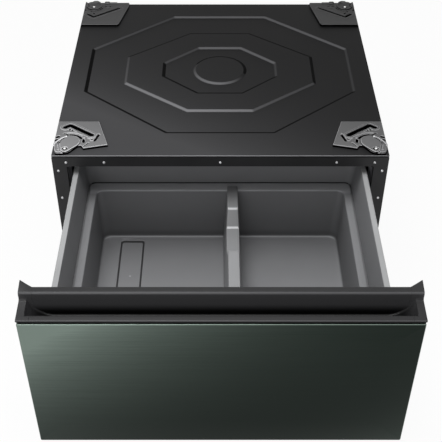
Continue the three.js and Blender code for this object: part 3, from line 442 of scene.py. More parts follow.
def softened(path, reach, steps=4):
    """Rounds the inner corners of a path, or of a stack of paths (stack, corner, axis).

    Each corner P becomes the parabola (1-s)^2 A + 2s(1-s) P + s^2 B, where A and B lie
    reach away from P along its two sides, or nearly half-way where a side is short.
    """
    path = np.asarray(path, float)
    before, corner, after = path[..., :-2, :], path[..., 1:-1, :], path[..., 2:, :]
    to_a, to_b = before - corner, after - corner
    length_a = np.linalg.norm(to_a, axis=-1, keepdims=True) + 1e-9
    length_b = np.linalg.norm(to_b, axis=-1, keepdims=True) + 1e-9
    reach = np.asarray(reach, float)
    reach = reach[..., :, None] if reach.ndim else reach
    a = corner + to_a * np.minimum(reach / length_a, 0.45)
    b = corner + to_b * np.minimum(reach / length_b, 0.45)
    s = np.linspace(0, 1, steps + 1)[:, None]
    a, corner, b = a[..., None, :], corner[..., None, :], b[..., None, :]
    arcs = (1 - s) ** 2 * a + 2 * s * (1 - s) * corner + s * s * b
    arcs = arcs.reshape(*arcs.shape[:-3], -1, arcs.shape[-1])
    return np.concatenate([path[..., :1, :], arcs, path[..., -1:, :]], axis=-2)


def softened_ring(points, reach, steps=4):
    """Rounds every corner of a closed outline, or of a stack of them."""
    points = np.asarray(points, float)
    wrapped = np.concatenate([points[..., -1:, :], points, points[..., :1, :]], axis=-2)
    return softened(wrapped, reach, steps)[..., 1:-1, :]


def grown(outline, distance):
    """An anticlockwise outline moved outward: a corner goes by distance (m + n) / (1 + m.n),
    where m and n are the outward normals of its two sides."""
    outline = np.asarray(outline, float)
    ahead = np.roll(outline, -1, 0) - outline
    normal = np.stack([ahead[:, 1], -ahead[:, 0]], 1) / np.linalg.norm(ahead, axis=1)[:, None]
    last = np.roll(normal, 1, 0)
    return outline + distance * (last + normal) / (1 + (last * normal).sum(1))[:, None]


def rounded_rectangles(x0, x1, y0, y1, radius):
    """One rounded rectangle for each row of its limits: corner centre + radius (cos a, sin a)."""
    steps = 8
    x0, x1, y0, y1, radius = (np.asarray(value, float)[:, None] for value in (x0, x1, y0, y1, radius))
    quarter = np.linspace(0, np.pi / 2, steps + 1)
    angle = np.concatenate([quarter + k * np.pi / 2 for k in range(4)])[None]
    right = np.repeat([True, False, False, True], steps + 1)[None]
    far = np.repeat([True, True, False, False], steps + 1)[None]
    x = np.where(right, x1 - radius, x0 + radius) + radius * np.cos(angle)
    y = np.where(far, y1 - radius, y0 + radius) + radius * np.sin(angle)
    return np.stack([x, y], -1)


def skin(rings, closed_first=True, closed_last=True):
    """A skin over closed rings (ring, point, axis): quads between neighbours and a face on each
    end. It faces outward where the rings run anticlockwise as seen from the last one."""
    rings = np.asarray(rings, float)
    count, around = rings.shape[:2]
    index = np.arange(count * around).reshape(count, around)
    low, high = index[:-1], index[1:]
    quads = np.stack([low, np.roll(low, -1, 1), np.roll(high, -1, 1), high], -1)
    faces = quads.reshape(-1, 4).tolist()
    if closed_first:
        faces.append(index[0, ::-1].tolist())
    if closed_last:
        faces.append(index[-1].tolist())
    return rings.reshape(-1, 3), faces


def at_levels(flat, level):
    """Rings of pairs with a third coordinate added, one for each ring."""
    third = np.broadcast_to(level[:, None, None], (*flat.shape[:2], 1))
    return np.concatenate([flat, third], -1)


def several(skins):
    """Skins as one mesh: their points after each other, with the faces' numbers moved on."""
    points, faces = [], []
    for part_points, part_faces in skins:
        start = sum(len(p) for p in points)
        points.append(part_points)
        faces += [[start + i for i in face] for face in part_faces]
    return np.concatenate(points), faces


def smooth_mesh(name, points, faces, finish, angle):
    """A mesh from millimetre points, smooth over edges that bend by less than angle degrees."""
    mesh = bpy.data.meshes.new(name)
    mesh.from_pydata((np.asarray(points) * MM).tolist(), [], faces)
    mesh.materials.append(FINISHES[finish])
    mesh.polygons.foreach_set("use_smooth", np.ones(len(mesh.polygons), bool))
    mesh.set_sharp_from_angle(angle=math.radians(angle))
    mesh.update()
    return mesh


def fit(name, shape, finish, body, angle, replaces=(), wall=None):
    """Makes a finished piece, rides it on its body and hides the CAD nodes that it stands for. It is
    smooth over edges that bend by less than an angle in degrees. A wall gives an open skin its
    thickness, on the side that its faces turn away from."""
    piece = bpy.data.objects.new(name, smooth_mesh(name, *shape, finish, angle))
    bpy.context.collection.objects.link(piece)
    if wall:
        thickness = piece.modifiers.new("wall", "SOLIDIFY")
        thickness.thickness = wall * MM
        thickness.offset = -1
        thickness.use_even_offset = True
    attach(piece, body)
    if replaces:
        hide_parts(*replaces)


# ---- The deck ----

DECK_MIDDLE = CABINET_DEPTH / 2 + CABINET_Y
PATTERN_MIDDLE = DECK_MIDDLE + 8.5  # of the octagons and the disc
PRESS_DEPTH = 3.5
PRESS_WALL = 5.2  # width of a pressed step
PRESS_FLAT = 2.5  # kept level on each side of a step
DISC_RADIUS = 58
# An octagon's margins from the deck's sides and ends, and its corners' cuts across and along.
OUTER_OCTAGON = (44.5, 73.7, 185.5, 156)
MIDDLE_OCTAGON = (130, 155, 142, 109)
INNER_OCTAGON = (215, 223.8, 78, 68.4)
DECK_CUT = 1.6  # of the deck's own corners
LIP_DROP = 3.2  # of the deck's turned-down edge
SHEET = 1.2  # wall of the deck and of the green front
RING_STEPS = 8  # points round each corner of the deck's outlines, less one


def octagon(side_margin, end_margin, cut_across, cut_along, middle=PATTERN_MIDDLE):
    """The corners of the deck's rectangle less margins and cuts, anticlockwise from the front of
    its right side."""
    x, y = HALF_WIDTH - side_margin, CABINET_DEPTH / 2 - end_margin
    flat_x, flat_y = x - cut_across, y - cut_along
    corners = np.array([[x, -flat_y], [x, flat_y], [flat_x, y], [-flat_x, y],
                        [-x, flat_y], [-x, -flat_y], [-flat_x, -y], [flat_x, -y]])
    return corners + [0, middle]


def disc_ring(out):
    """The pressed disc's edge moved out by a distance: radius (cos a, sin a), with as many points
    as an octagon's ring."""
    count = 8 * (RING_STEPS + 1)
    angle = (np.arange(count) + 0.5) / count * 2 * np.pi - np.pi / 4
    radius = DISC_RADIUS + out
    return np.stack([radius * np.cos(angle), radius * np.sin(angle) + PATTERN_MIDDLE], 1)


def ring_of(corners, reach=3.0):
    """An outline with rounded corners, as a function of the distance that it is moved out."""
    return lambda out: softened_ring(grown(corners, out), reach, RING_STEPS)


def rings_along(ring_at, path, reach):
    """Rings along a softened path of pairs: outward distance, and height from the deck."""
    out, height = softened(path, reach).T
    return at_levels(np.stack([ring_at(distance) for distance in out]), DECK + height)


def pressed_step(ring_at, inside, outside):
    """A sloped step along an outline, from the height inside it to the height outside it."""
    half = PRESS_WALL / 2
    end = half + PRESS_FLAT
    return rings_along(ring_at, [(-end, inside), (-half, inside), (half, outside), (end, outside)], 2.2)


def deck_skin():
    """The deck as rings from its turned-down lip in to the disc. The sheet lies low between the
    disc and the inner octagon and between the middle and outer ones, and level elsewhere."""
    inner, middle, outer = (
        ring_of(octagon(*sizes)) for sizes in (INNER_OCTAGON, MIDDLE_OCTAGON, OUTER_OCTAGON))
    edge = ring_of(octagon(0, 0, DECK_CUT, DECK_CUT, DECK_MIDDLE), 1.4)
    rings = np.concatenate([
        pressed_step(disc_ring, 0, -PRESS_DEPTH), pressed_step(inner, -PRESS_DEPTH, 0),
        pressed_step(middle, 0, -PRESS_DEPTH), pressed_step(outer, -PRESS_DEPTH, 0),
        rings_along(edge, [(-2.4, 0), (0, 0), (0, -LIP_DROP)], 2.3)])
    return skin(rings[::-1], False, True)


fit("deck_pressing", deck_skin(), "deck", "cabinet", 50, ["top_plate"], SHEET)


# ---- The drawer's bin and its divider ----

# Places along the drawer are counted back from the closed drawer's own plane.
FINE_GROOVE = 2.0  # depth of the grooves round the ledge and round the floor's pad
PAD = (-220.7, -167.7, 53.5, 399.5)  # the pad's left, right, front and rear
BIN_WALL = 2.5
DIVIDER_X = 26.5
DIVIDER_HALF = 11.0  # half of its thickness at the top
DIVIDER_GAIN, GAIN_HEIGHT = 8, 133.6  # what each half gains on the way down, and over what height
DIVIDER_DIP = 36
DIVIDER_EDGE = 1.8  # radius of its outer edges


def bin_skin():
    """The bin's inside from its rim to the outlined pad on its floor. Each ring is a rounded
    rectangle, and its limits (x0, x1, y0, y1, radius, height) follow a softened path."""
    def level(half_width, front, rear, radius, height):
        return (-half_width, half_width, front, rear, radius, height)

    def pad(inward, along, radius, height=BIN_FLOOR):
        left, right, front, rear = PAD
        return (left + inward, right - inward, front + along, rear - along, radius, height)

    path = [
        level(300.7, 1, 457, 8, BIN_RIM),  # the rim's flat top
        level(292.7, 9, 449, 16, BIN_RIM),
        level(284.9, 16.8, 445.2, 14, BIN_LEDGE + 0.6),  # the upper wall's foot
        level(284.7, 17, 445, 14, BIN_LEDGE - FINE_GROOVE),
        level(282.7, 19, 442.4, 13, BIN_LEDGE - FINE_GROOVE),
        level(BIN_GROOVE_SIDE, 19.5, BIN_GROOVE_REAR, 13, BIN_LEDGE),  # the ledge
        level(265.9, 36, 417, 14, BIN_LEDGE),
        level(261.2, 40.5, 412.5, 20, BIN_FLOOR),  # the well's foot
        level(248, 49, 404, 14, BIN_FLOOR),
        level(246, 51, 402, 14, BIN_FLOOR),
        pad(-3, -3, 10),
        pad(0, 0, 9),
        pad(0.9, 1.5, 8, BIN_FLOOR - FINE_GROOVE),
        pad(3.1, 7.5, 6, BIN_FLOOR - FINE_GROOVE),
        pad(4, 9, 5),
        pad(6, 11, 4),
        pad(7, 12, 3)]
    reach = (6, 1, 0.8, 0.8, 0.8, 5, 12, 0.5, 0.5, 0.5, 0.8, 0.6, 0.6, 0.8, 0.5)
    x0, x1, y0, y1, radius, z = softened(path, reach).T
    flat = rounded_rectangles(x0, x1, y0 + DRAWER_Y, y1 + DRAWER_Y, radius)
    return skin(at_levels(flat, z), False, True)


def divider_skin():
    """The divider: its side outline swept across a thickness that grows toward the foot. Near
    each face the outline shrinks by edge (1 - sin a) while x moves in by edge (1 - cos a)."""
    foot, shelf, top = BIN_FLOOR + 0.6, BIN_LEDGE + 0.6, BIN_LEDGE + 4.6
    dip = top - DIVIDER_DIP
    outline = np.array([
        [49, foot], [403.4, foot], [411.3, foot + 8], [416.2, shelf], [427, shelf], [427, top],
        [352.9, top], [329.9, dip], [247.4, dip], [224.4, top], [25.8, top], [25.8, shelf],
        [36.8, shelf], [41.1, foot + 8]])
    reach = np.array([4, 4, 3, 1.5, 1.5, 3, 5, 5, 5, 5, 3, 1.5, 1.5, 3])
    bend = np.linspace(0, np.pi / 2, 5)
    inset = DIVIDER_EDGE * (1 - np.sin(bend))
    off_face = DIVIDER_EDGE * (1 - np.cos(bend))
    insets = np.append(inset, inset[::-1])
    flat = np.stack([softened_ring(grown(outline, -inward), reach) for inward in insets])
    half = DIVIDER_HALF + (top - flat[..., 1]) * DIVIDER_GAIN / GAIN_HEIGHT
    left = off_face[:, None] - half[:len(bend)]
    right = half[len(bend):] - off_face[::-1, None]
    x = DIVIDER_X + np.concatenate([left, right])
    return skin(np.stack([x, flat[..., 0] + DRAWER_Y, flat[..., 1]], -1))


fit("bin_moulding", bin_skin(), "bin", "drawer", 60, ["drawer_bin"], BIN_WALL)
fit("divider_moulding", divider_skin(), "divider", "divider", 40, ["bin_divider"])


# ---- The drawer's front ----

PANEL_FACE = -73.0  # the green panel's front plane, from the closed drawer's own
PANEL_BACK = -55.0  # where its turned edges end
PANEL_RADIUS = 3.2
HANDLE_BACK = -3.0
HANDLE_HALF = 320.7  # the handle ends here, and its end caps start a seam further out
CAP_START = 321
# The finger groove's scoop: where its level floor ends, its control point and its end at the
# lip's line, each as (x, height from the deck).
SCOOP = ([288, GROOVE_FLOOR], [322, -35], [330, -4.4])


def front_panel_skin():
    """The green panel: rounded rectangles across X and Z along a softened path of (inset, y)."""
    path = softened([(0, PANEL_BACK), (0, PANEL_FACE), (60, PANEL_FACE)], 2.6, 6)
    inset, y = path[:, 0], path[:, 1]
    radius = np.maximum(PANEL_RADIUS - inset, 0.6)
    flat = rounded_rectangles(
        inset - HALF_WIDTH, HALF_WIDTH - inset, PANEL_BOTTOM + inset, PANEL_TOP - inset, radius)
    return skin(at_levels(flat, y + DRAWER_Y)[..., [0, 2, 1]], False, True)


def groove_stations(limit):
    """Places along X with the finger groove's floor there, out to a limit: level at first, then
    the scoop (1-t)^2 P + 2t(1-t) Q + t^2 R up to the lip's line."""
    t = np.linspace(0, 1, 25)[:, None]
    start, control, end = SCOOP
    scoop = (1 - t) ** 2 * start + 2 * t * (1 - t) * control + t * t * end
    x = np.concatenate([[0], scoop[:, 0]])
    x = np.append(x[x < limit - 0.5], limit)
    return x, np.interp(x, scoop[:, 0], scoop[:, 1])


def handle_loops(x, floor_at, is_cap):
    """The handle's closed section at each place along X, as pairs (distance forward, height from
    the deck), anticlockwise as seen from the right. The groove's floor stays under the lip's
    slope, which is the line lip(d)."""
    def lip(d):
        return -8.3 + 3.9 * (69 - d) / 42

    foot, top = -44, 12
    body_front, groove_rear, lip_rear, lip_front = 51.7, 25, 60, 70
    under = np.minimum(floor_at, lip(groove_rear) - 0.15)
    throat = 49.6 + np.clip((floor_at + 17.5) / (lip(lip_rear) + 17), 0, 0.98) * 10.4
    front_floor = np.minimum(floor_at, lip(throat) - 0.1)
    if is_cap:
        out = np.clip((x - CAP_START) / 21, 0, 1)
        back = 10 - 12 * out
        rim = top + 4.5 * (21.5 - back) / 23.5 * out
        rear = [(10, foot), (10, 4.5), (back, rim - 6), (back, rim - 1), (back + 1, rim)]
    else:
        rear = [(22.5, foot), (22.5, 9.5), (10, 9.5), (10, 11), (11, top)]
    points = [
        (body_front, foot), *rear, (21.5, top), (23.2, 11.4), (groove_rear, 8.5), (groove_rear, under),
        (throat, front_floor), (throat + 0.02, np.maximum(front_floor + 0.02, -17.5)),
        (lip_rear, np.maximum(lip(lip_rear) - 0.6, front_floor)), (lip_rear, lip(lip_rear)), (69, -8.3),
        (lip_front, -9.2), (lip_front, -11.7), (66, -11.7), (66, -17.2), (body_front, -17.2)]
    everywhere = np.ones_like(x)
    return np.stack([np.stack([d * everywhere, z * everywhere], -1) for d, z in points], 1)


# How far each corner of that section is rounded.
LOOP_REACH = np.array([
    1, 2, 1, 1, 0.4, 0.4, 1.2, 1.5, 2, 5, 5, 0.5, 0.6, 0.5, 0.6, 0.6, 0.3, 0.3, 0.3, 1])


def handle_skin(x, floor_at, is_cap=False):
    """The handle's rounded sections, one at each place along X."""
    loops = softened_ring(handle_loops(np.abs(x), floor_at, is_cap), LOOP_REACH, 3)
    places = at_levels(loops, x)[..., [2, 0, 1]]
    return skin(places * [1, -1, 1] + [0, HANDLE_BACK + DRAWER_Y, DECK])


def whole_handle():
    """The handle between its end caps: the right half's places after the same ones mirrored."""
    x, floor_at = groove_stations(HANDLE_HALF)
    return handle_skin(np.concatenate([-x[:0:-1], x]), np.concatenate([floor_at[:0:-1], floor_at]))


def handle_end(side):
    """One end of the handle, with its ear: the left one is drawn from the outside in."""
    stations, floors = groove_stations(SCOOP[-1][0])
    kept = stations > CAP_START + 0.3
    x = np.concatenate([[CAP_START], stations[kept], [336, 342, HALF_WIDTH]])
    closed = 5  # a floor over the lip, which leaves no groove there
    floor_at = np.concatenate([[np.interp(CAP_START, stations, floors)], floors[kept], [closed] * 3])
    return handle_skin(x, floor_at, True) if side > 0 else handle_skin(-x[::-1], floor_at[::-1], True)


fit("green_front", front_panel_skin(), "green", "drawer", 30, ["front_panel"], SHEET)
fit("handle_moulding", whole_handle(), "black_plastic", "drawer", 35, ["handle"])
for side, word in SIDES:
    fit(f"handle_end_{word}", handle_end(side), "black_plastic", "drawer", 35,
        [f"handle_cap_{word}"])


# ---- Screws of the front frame ----

HEAD_RADII = (2.7, 2.6, 2.3, 1.9, 1.5, 1.15, 0.8, 0.45, 0.2)
HEAD_HEIGHTS = (0, 0.9, 1.25, 1.45, 1.55, 1.6, 1.6, 1.6, 1.6)
CROSS_HALF, CROSS_REACH, CROSS_DEPTH = 0.34, 1.7, 1.1
SCREW_ROW, SCREW_COLUMN = 343.7, 332  # the row's height, and the columns' place from the middle
SCREWS = [(x, SCREW_ROW) for x in (0, -237, 237, -314.5, 314.5)] + [
    (side * SCREW_COLUMN, z) for side, _ in SIDES for z in (322.5, 250.7, 178.9, 107.1)]


def screw_skin(x, z, turn):
    """A pan head whose height over polar coordinates is a dome less a cross-shaped recess."""
    rho, dome = np.array([HEAD_RADII, HEAD_HEIGHTS])[..., None]
    angle = np.linspace(0, 2 * np.pi, 33)[None, :-1]
    across, along = rho * np.cos(angle), rho * np.sin(angle)
    cross = (np.minimum(np.abs(across), np.abs(along)) < CROSS_HALF) & (rho < CROSS_REACH)
    height = dome - CROSS_DEPTH * cross
    px = x + across * np.cos(turn) - along * np.sin(turn)
    pz = z + across * np.sin(turn) + along * np.cos(turn)
    return skin(np.stack([px, CABINET_Y - height, pz], -1))


heads = [screw_skin(x, z, 0.7 * number) for number, (x, z) in enumerate(SCREWS)]
fit("frame_screws", several(heads), "screw", "cabinet", 35)


# ---- Corner holders ----

# Corner coordinates in millimetres: u runs in from the cabinet's side, v from its front or back,
# and heights are above the deck.

def off_line(u, v, points):
    """Distance from each (u, v) to a line of points: the least over its runs of |p - a - t (b - a)|,
    with t at the foot of the perpendicular, kept between 0 and 1."""
    points = np.asarray(points, float)
    start, run = points[:-1], points[1:] - points[:-1]
    place = np.stack([u, v], -1)[..., None, :]
    t = np.clip(((place - start) * run).sum(-1) / (run * run).sum(-1), 0, 1)
    return np.linalg.norm(place - start - t[..., None] * run, axis=-1).min(-1)


def depth_inside(u, v, outline):
    """Distance inside a closed outline, negative outside: a place is inside where the sides that
    pass to its right are odd in number."""
    outline = np.asarray(outline, float)
    away = off_line(u, v, np.concatenate([outline, outline[:1]]))
    (u0, v0), (u1, v1) = outline.T, np.roll(outline, -1, 0).T
    level = v[..., None]
    crossed = (v0 > level) != (v1 > level)
    at = u0 + (level - v0) * (u1 - u0) / np.where(v1 == v0, 1, v1 - v0)
    inside = (crossed & (u[..., None] < at)).sum(-1) % 2 == 1
    return np.where(inside, away, -away)


def rounding(distance, radius):
    """A quarter circle: 0 at distance 0 and 1 from a radius on."""
    t = np.clip(distance / radius, 0, 1)
    return np.sqrt(1 - (1 - t) ** 2)


def arc(centre, radius, start, end, count=13):
    """Points on an arc, its angles in degrees: centre + radius (cos a, sin a)."""
    angle = np.radians(np.linspace(start, end, count))
    return np.stack([centre[0] + radius * np.cos(angle), centre[1] + radius * np.sin(angle)], 1)


def spot(u, v):
    """A line so short that its distances are those from a point."""
    return [(u, v), (u + 0.01, v)]


RIDGE_ROUNDING, RIM_ROUNDING, CUT_ROUNDING = 1.0, 1.7, 0.9


def relief_height(u, v, outline, top, ridges, cuts):
    """A plate's height: top + ridges, rounded off at the outline, then cut down to floors. A ridge
    or a cut is (line, half width, height or floor)."""
    rises = [rise * rounding(half - off_line(u, v, line), RIDGE_ROUNDING) for line, half, rise in ridges]
    raised = top + np.max([np.zeros_like(u)] + rises, axis=0)
    height = raised * rounding(depth_inside(u, v, outline), RIM_ROUNDING)
    for line, half, floor_at in cuts:
        floor_at = np.minimum(floor_at, height)
        height = floor_at + (height - floor_at) * rounding(off_line(u, v, line) - half, CUT_ROUNDING)
    return height


def corner_place(u, v, height, end, side):
    """Row coordinates of corner coordinates: the side is -1 on the left and 1 on the right."""
    y = v if end == "front" else CABINET_DEPTH - v
    return np.stack([side * (HALF_WIDTH - u), y + CABINET_Y, DECK + height], -1)


def is_mirrored(end, side):
    """Whether a corner's coordinates run the other way round than the row frame's."""
    return side * (1 if end == "front" else -1) > 0


def relief_skin(end, side, outline, low, top, ridges, cuts, spacing=0.6):
    """A closed plate on a grid of u and v, with its upper sheet at the relief's height, a flat one at
    its low side and a strip between their edges. Cells wholly outside the outline are left out."""
    outline = np.asarray(outline, float)
    (u0, v0), (u1, v1) = outline.min(0), outline.max(0)
    u, v = np.meshgrid(
        np.arange(u0, u1 + spacing, spacing), np.arange(v0, v1 + spacing, spacing), indexing="ij")
    u, v = np.minimum(u, u1), np.minimum(v, v1)
    height = np.maximum(relief_height(u, v, outline, top - low, ridges, cuts), 0.2) + low
    solid = depth_inside(u, v, outline) > 0
    cell = solid[:-1, :-1] | solid[1:, :-1] | solid[:-1, 1:] | solid[1:, 1:]
    upper = np.arange(u.size).reshape(u.shape)
    corners = [upper[:-1, :-1], upper[1:, :-1], upper[1:, 1:], upper[:-1, 1:]]
    kept = np.stack(corners, -1)[cell]
    rim = []
    padded = np.pad(cell, 1)
    beyond = [padded[1:-1, :-2], padded[2:, 1:-1], padded[1:-1, 2:], padded[:-2, 1:-1]]
    for k, neighbour in enumerate(beyond):
        open_side = cell & ~neighbour
        a, b = corners[k][open_side], corners[(k + 1) % 4][open_side]
        rim.append(np.stack([b, a, a + u.size, b + u.size], -1))
    faces = np.concatenate([kept, kept[:, ::-1] + u.size, *rim])
    if is_mirrored(end, side):
        faces = faces[:, ::-1]
    sheets = [corner_place(u, v, level, end, side) for level in (height, np.full(u.shape, float(low)))]
    points = np.concatenate([sheet.reshape(-1, 3) for sheet in sheets])
    used, faces = np.unique(faces, return_inverse=True)
    return points[used], faces.reshape(-1, 4).tolist()


def keeper_outline(disc, disc_radius, pivot, lobe_radius):
    """A keeper's outline: the disc's arc, then the smaller lobe's arc round the pivot, joined by
    the two lines that touch both."""
    along = np.subtract(disc, pivot)
    apart = np.hypot(*along)
    heading = np.degrees(np.arctan2(along[1], along[0]))
    if disc_radius - lobe_radius >= apart:
        return arc(disc, disc_radius, 0, 356, 90)
    lean = 90 + np.degrees(np.arcsin((disc_radius - lobe_radius) / apart))
    return np.concatenate([arc(disc, disc_radius, heading - lean, heading + lean, 60),
                           arc(pivot, lobe_radius, heading + lean, heading + 360 - lean, 30)])


def stud_skin(end, side, u, v, low, profile):
    """A turned stud: radius and height pairs, spun round the upright through (u, v)."""
    angle = np.linspace(0, 2 * np.pi, 25)[None, :-1]
    radius, height = softened(profile, 0.4, 3).T[..., None]
    flat_u, flat_v = u + radius * np.cos(angle), v + radius * np.sin(angle)
    rings = corner_place(flat_u, flat_v, low + height + 0 * angle, end, side)
    return skin(rings[:, ::-1] if is_mirrored(end, side) else rings)


def arm_outline(line, half):
    """A strip's outline: its line moved half a width to each side, square to its runs."""
    ahead = np.gradient(line, axis=0)
    square = np.stack([ahead[:, 1], -ahead[:, 0]], 1) / np.linalg.norm(ahead, axis=1)[:, None]
    return np.concatenate([line + half * square, (line - half * square)[::-1]])


HOLDER_TOP = 5.4
SLOT_FLOOR = 0.4
KEEPER_LOW, KEEPER_TOP = 5.5, 8.3
GROOVE_LOW = 0.3  # floor of a keeper's grooves, which painted shade blackens, above its underside
PIVOT_LOW = 7.3
ARM_LOW, ARM_TOP = 8.45, 9.8
PIVOT_PROFILE = [(4.2, 0), (4.2, 0.5), (3, 1.3), (2.7, 1.7), (0.05, 1.7)]
STUD_PROFILE = [(2.1, 0), (2.1, 1.2), (0.05, 1.5)]

FRONT_DISC, REAR_DISC = (33.5, 38.5), (26, 21)
FRONT_PIVOT, REAR_PIVOT = (27, 13), (26, 31)
FRONT_SLOT = [(76.4, 63.8), (28.5, 98.5), (19, 91.5)]
REAR_SLOT = [(89.5, 32), (29.5, 76.5), (14.5, 63)]
WIDE_BOSS, NARROW_BOSS = (78.9, 47.7), (72, 52.9)
ARM_LINE = np.array([(3.5, 22), (3.2, 28), (8.6, 38.2), (14.6, 46.8), (20, 51.8), (25, 54)])
ARM_STUD = (25.5, 54)

FRONT_PLATE = [(1, 114), (1, 40), (5, 12), (8, 3), (14, 1), (22, 2), (33, 5), (39, 11), (50, 27.5),
               (58, 28.5), (63.5, 19), (113, 31), (87.5, 114)]
FRONT_RIDGES = [
    (FRONT_SLOT, 10.6, 0.9),
    (arc(FRONT_DISC, 34.5, 48, 112), 1.7, 1.3), ([(75.5, 56.5), (90, 69)], 1.9, 1.4),
    (spot(*WIDE_BOSS), 4.4, 1.1), (spot(*NARROW_BOSS), 2.9, 1.1), (spot(60.5, 54.5), 2.8, 2.6),
    ([(6, 27), (9, 12), (15, 4)], 5.2, 3.05)]  # the hook under the arm
FRONT_CUTS = [
    (FRONT_SLOT, 5.3, SLOT_FLOOR),
    ([(91, 64), (84.4, 44.5)], 2.5, SLOT_FLOOR), ([(61.3, 48), (62.2, 40)], 2.5, SLOT_FLOOR),
    (arc(FRONT_DISC, 27, 32, 104), 2.4, SLOT_FLOOR), ([(29, 65.5), (18.5, 69.8)], 1.3, SLOT_FLOOR),
    ([(27.8, 81.5), (30.5, 86.5)], 1.2, 2.0), ([(33.2, 78.5), (36.3, 83.5)], 1.2, 2.0),
    (spot(14.5, 8.9), 1.2, 3.0), ([(4.5, 46.5), (6.5, 48.5)], 2.8, SLOT_FLOOR),
    ([(5, 57), (9, 59)], 3.0, SLOT_FLOOR),
    (spot(*WIDE_BOSS), 2.3, 1.0), (spot(*NARROW_BOSS), 0.9, 3.0),
    ([(64.5, 26), (72.5, 38)], 1.0, 2.4), ([(26.5, 1), (26, 5)], 1.2, SLOT_FLOOR)]
FRONT_GROOVES = [([(12.5, 33), (16.5, 44.5), (23.5, 52)], 1.1, GROOVE_LOW)]

REAR_PLATE = [(1, 114), (1, 1), (113, 1), (113, 20), (95, 109), (91, 114)]
REAR_RIDGES = [
    (REAR_SLOT, 9.5, 0.9), ([(5, 46), (14, 54.5), (30, 66)], 1.3, 1.2), ([(54, 6), (61, 6)], 3.4, 4.0),
    ([(61, 5), (80, 5)], 3.0, 1.6), (spot(61, 27), 4.2, 1.8), ([(4, 4), (4, 30)], 2.2, 2.2)]
REAR_CUTS = [
    (REAR_SLOT, 3.3, SLOT_FLOOR),
    ([(53, 20), (67, 20)], 1.9, SLOT_FLOOR), (spot(20.5, 47.5), 1.9, SLOT_FLOOR),
    ([(26, 55), (30.5, 59.5)], 1.6, SLOT_FLOOR), (arc(REAR_DISC, 23.4, 20, 100), 1.2, SLOT_FLOOR),
    ([(4, 37), (6, 44)], 1.8, SLOT_FLOOR), ([(9, 4), (9, 14)], 1.0, 2.0)]
REAR_RIMS = [([(9, 10), (24, 6.5)], 2.4, 1.6), ([(24, 6.5), (34, 5.5), (39, 9)], 2.6, 3.2)]
REAR_GROOVES = [
    ([(10, 14), (13, 24), (10, 30)], 0.9, GROOVE_LOW), ([(18, 12), (30, 11)], 0.9, GROOVE_LOW)]

# Each end's plate with its ridges and cuts, then its keeper's pivot, outline, ridges and grooves.
CORNERS = {
    "front": (FRONT_PLATE, FRONT_RIDGES, FRONT_CUTS, FRONT_PIVOT,
              keeper_outline(FRONT_DISC, 21.5, FRONT_PIVOT, lobe_radius=9.5), [], FRONT_GROOVES),
    "rear": (REAR_PLATE, REAR_RIDGES, REAR_CUTS, REAR_PIVOT,
             keeper_outline(REAR_DISC, 19.5, REAR_PIVOT, lobe_radius=8), REAR_RIMS, REAR_GROOVES),
}


def fit_corner(end, side, word):
    """One corner: the holder's plate, its keeper with a dished bore, and the pivot's head."""
    plate, ridges, cuts, pivot, keeper, rims, grooves = CORNERS[end]
    corner = f"{end}_{word}"
    dish = KEEPER_TOP - KEEPER_LOW - 1.2
    bore = [(spot(*pivot), 5.5, dish), (arc(pivot, 5.4, 15, 165), 1.0, GROOVE_LOW)]
    fit(f"holder_relief_{corner}", relief_skin(end, side, plate, 0, HOLDER_TOP, ridges, cuts),
        "cast", "cabinet", 180, [f"corner_holder_{corner}"])
    fit(f"keeper_relief_{corner}",
        relief_skin(end, side, keeper, KEEPER_LOW, KEEPER_TOP, rims, bore + grooves, 0.5),
        "keeper", f"keeper_{corner}", 180, [f"foot_keeper_{corner}"])
    fit(f"pivot_head_{corner}", stud_skin(end, side, *pivot, PIVOT_LOW, PIVOT_PROFILE),
        "pivot", "cabinet", 40, [f"keeper_pivot_{corner}"])


def fit_hook_arm(side, word):
    """The thin arm that lies over a front holder's hook, and the stud at its end."""
    arm = relief_skin("front", side, arm_outline(ARM_LINE, 1.5), ARM_LOW, ARM_TOP, [], [], 0.4)
    fit(f"hook_arm_{word}", arm, "arm", "cabinet", 180)
    fit(f"arm_stud_{word}", stud_skin("front", side, *ARM_STUD, ARM_LOW, STUD_PROFILE),
        "screw", "cabinet", 60)


for end in CORNERS:
    for side, word in SIDES:
        fit_corner(end, side, word)
        if end == "front":
            fit_hook_arm(side, word)


# ---- Floor, light and camera ----

def seen_directly(finish):
    """1 for rays from the camera and for those that a surface mirrors or lets through, else 0."""
    rays = finish.node("ShaderNodeLightPath").socket.node.outputs
    seen = Value(finish, rays["Is Camera Ray"]) + Value(finish, rays["Is Glossy Ray"])
    return finish.maths("ADD", seen, Value(finish, rays["Is Transmission Ray"]), clamp=True)


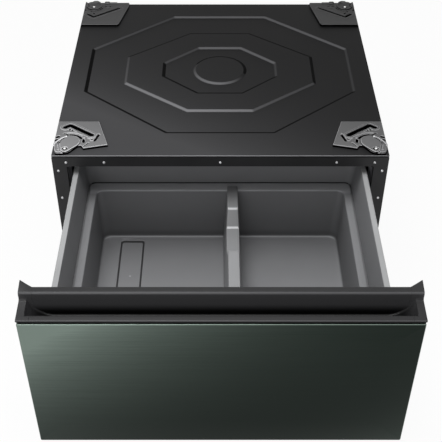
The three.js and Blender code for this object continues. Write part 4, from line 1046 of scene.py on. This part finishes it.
def floor():
    """A pale studio floor that runs far out of view."""
    half = 12.0
    corners = [(-half, -half, 0), (half, -half, 0), (half, half, 0), (-half, half, 0)]
    mesh = bpy.data.meshes.new("studio floor")
    mesh.from_pydata(corners, [], [(0, 1, 2, 3)])
    ground = bpy.data.objects.new("studio floor", mesh)
    bpy.context.collection.objects.link(ground)
    finish = Finish("pale floor", Roughness=0.9)
    speckle = finish.noise(3.0)
    finish.set(Base_Color=finish.blend(speckle, (0.80, 0.80, 0.80), (0.82, 0.82, 0.82)))
    glow = finish.node("ShaderNodeEmission")
    paint = Value(finish, finish.shader.outputs[0])
    share = seen_directly(finish) * FLOOR_GLOW
    mixed = finish.node("ShaderNodeMixShader", {}, {0: share, 1: paint, 2: glow})
    finish.feed(finish.tree.nodes["Material Output"].inputs["Surface"], mixed)
    mesh.materials.append(finish.material)


def lamp(name, place, target, size, power):
    """A square soft lamp at a place, facing a target."""
    light = bpy.data.lights.new(name, "AREA")
    light.shape = "RECTANGLE"
    light.size, light.size_y = size
    light.energy = power
    holder = bpy.data.objects.new(name, light)
    holder.location = place
    direction = np.array(target) - np.array(place)
    yaw = math.atan2(direction[1], direction[0]) - math.pi / 2
    pitch = math.atan2(direction[2], math.hypot(direction[0], direction[1]))
    holder.rotation_euler = (pitch + math.pi / 2, 0, yaw)
    bpy.context.collection.objects.link(holder)


class Room(Finish):
    """The world's shader nodes: its shader is a Background."""

    def __init__(self, world):
        world.use_nodes = True
        self.tree = world.node_tree
        self.shader = self.tree.nodes["Background"]


def surroundings():
    """An even room: white where it is seen, and dimmer as light on the object."""
    world = bpy.data.worlds.new("studio")
    bpy.context.scene.world = world
    room = Room(world)
    room.set(Color=(1, 1, 1, 1), Strength=room.between(seen_directly(room), 0, 1, ROOM_LIGHT, 1.0))


def photograph_camera():
    """The photograph's view: 41 degrees down from in front, with a moderately long lens."""
    camera = bpy.data.cameras.new("photograph")
    camera.lens = 73.06
    camera.sensor_width = 36
    camera.sensor_fit = "HORIZONTAL"
    camera.shift_x = 0.0115
    holder = bpy.data.objects.new("photograph", camera)
    holder.location = (-0.0089, -1.5505, 1.460)
    holder.rotation_euler = (math.radians(48.7), 0, 0)
    bpy.context.collection.objects.link(holder)
    bpy.context.scene.camera = holder


floor()
surroundings()
lamp("overhead soft box", (-0.3, -0.5, 2.4), (0, -0.3, 0.2), (1.5, 1.0), 42)
lamp("front soft box", (-0.6, -2.1, 1.1), (0, -0.1, 0.35), (0.8, 0.8), 10)
photograph_camera()
bpy.context.scene.view_settings.view_transform = "Standard"
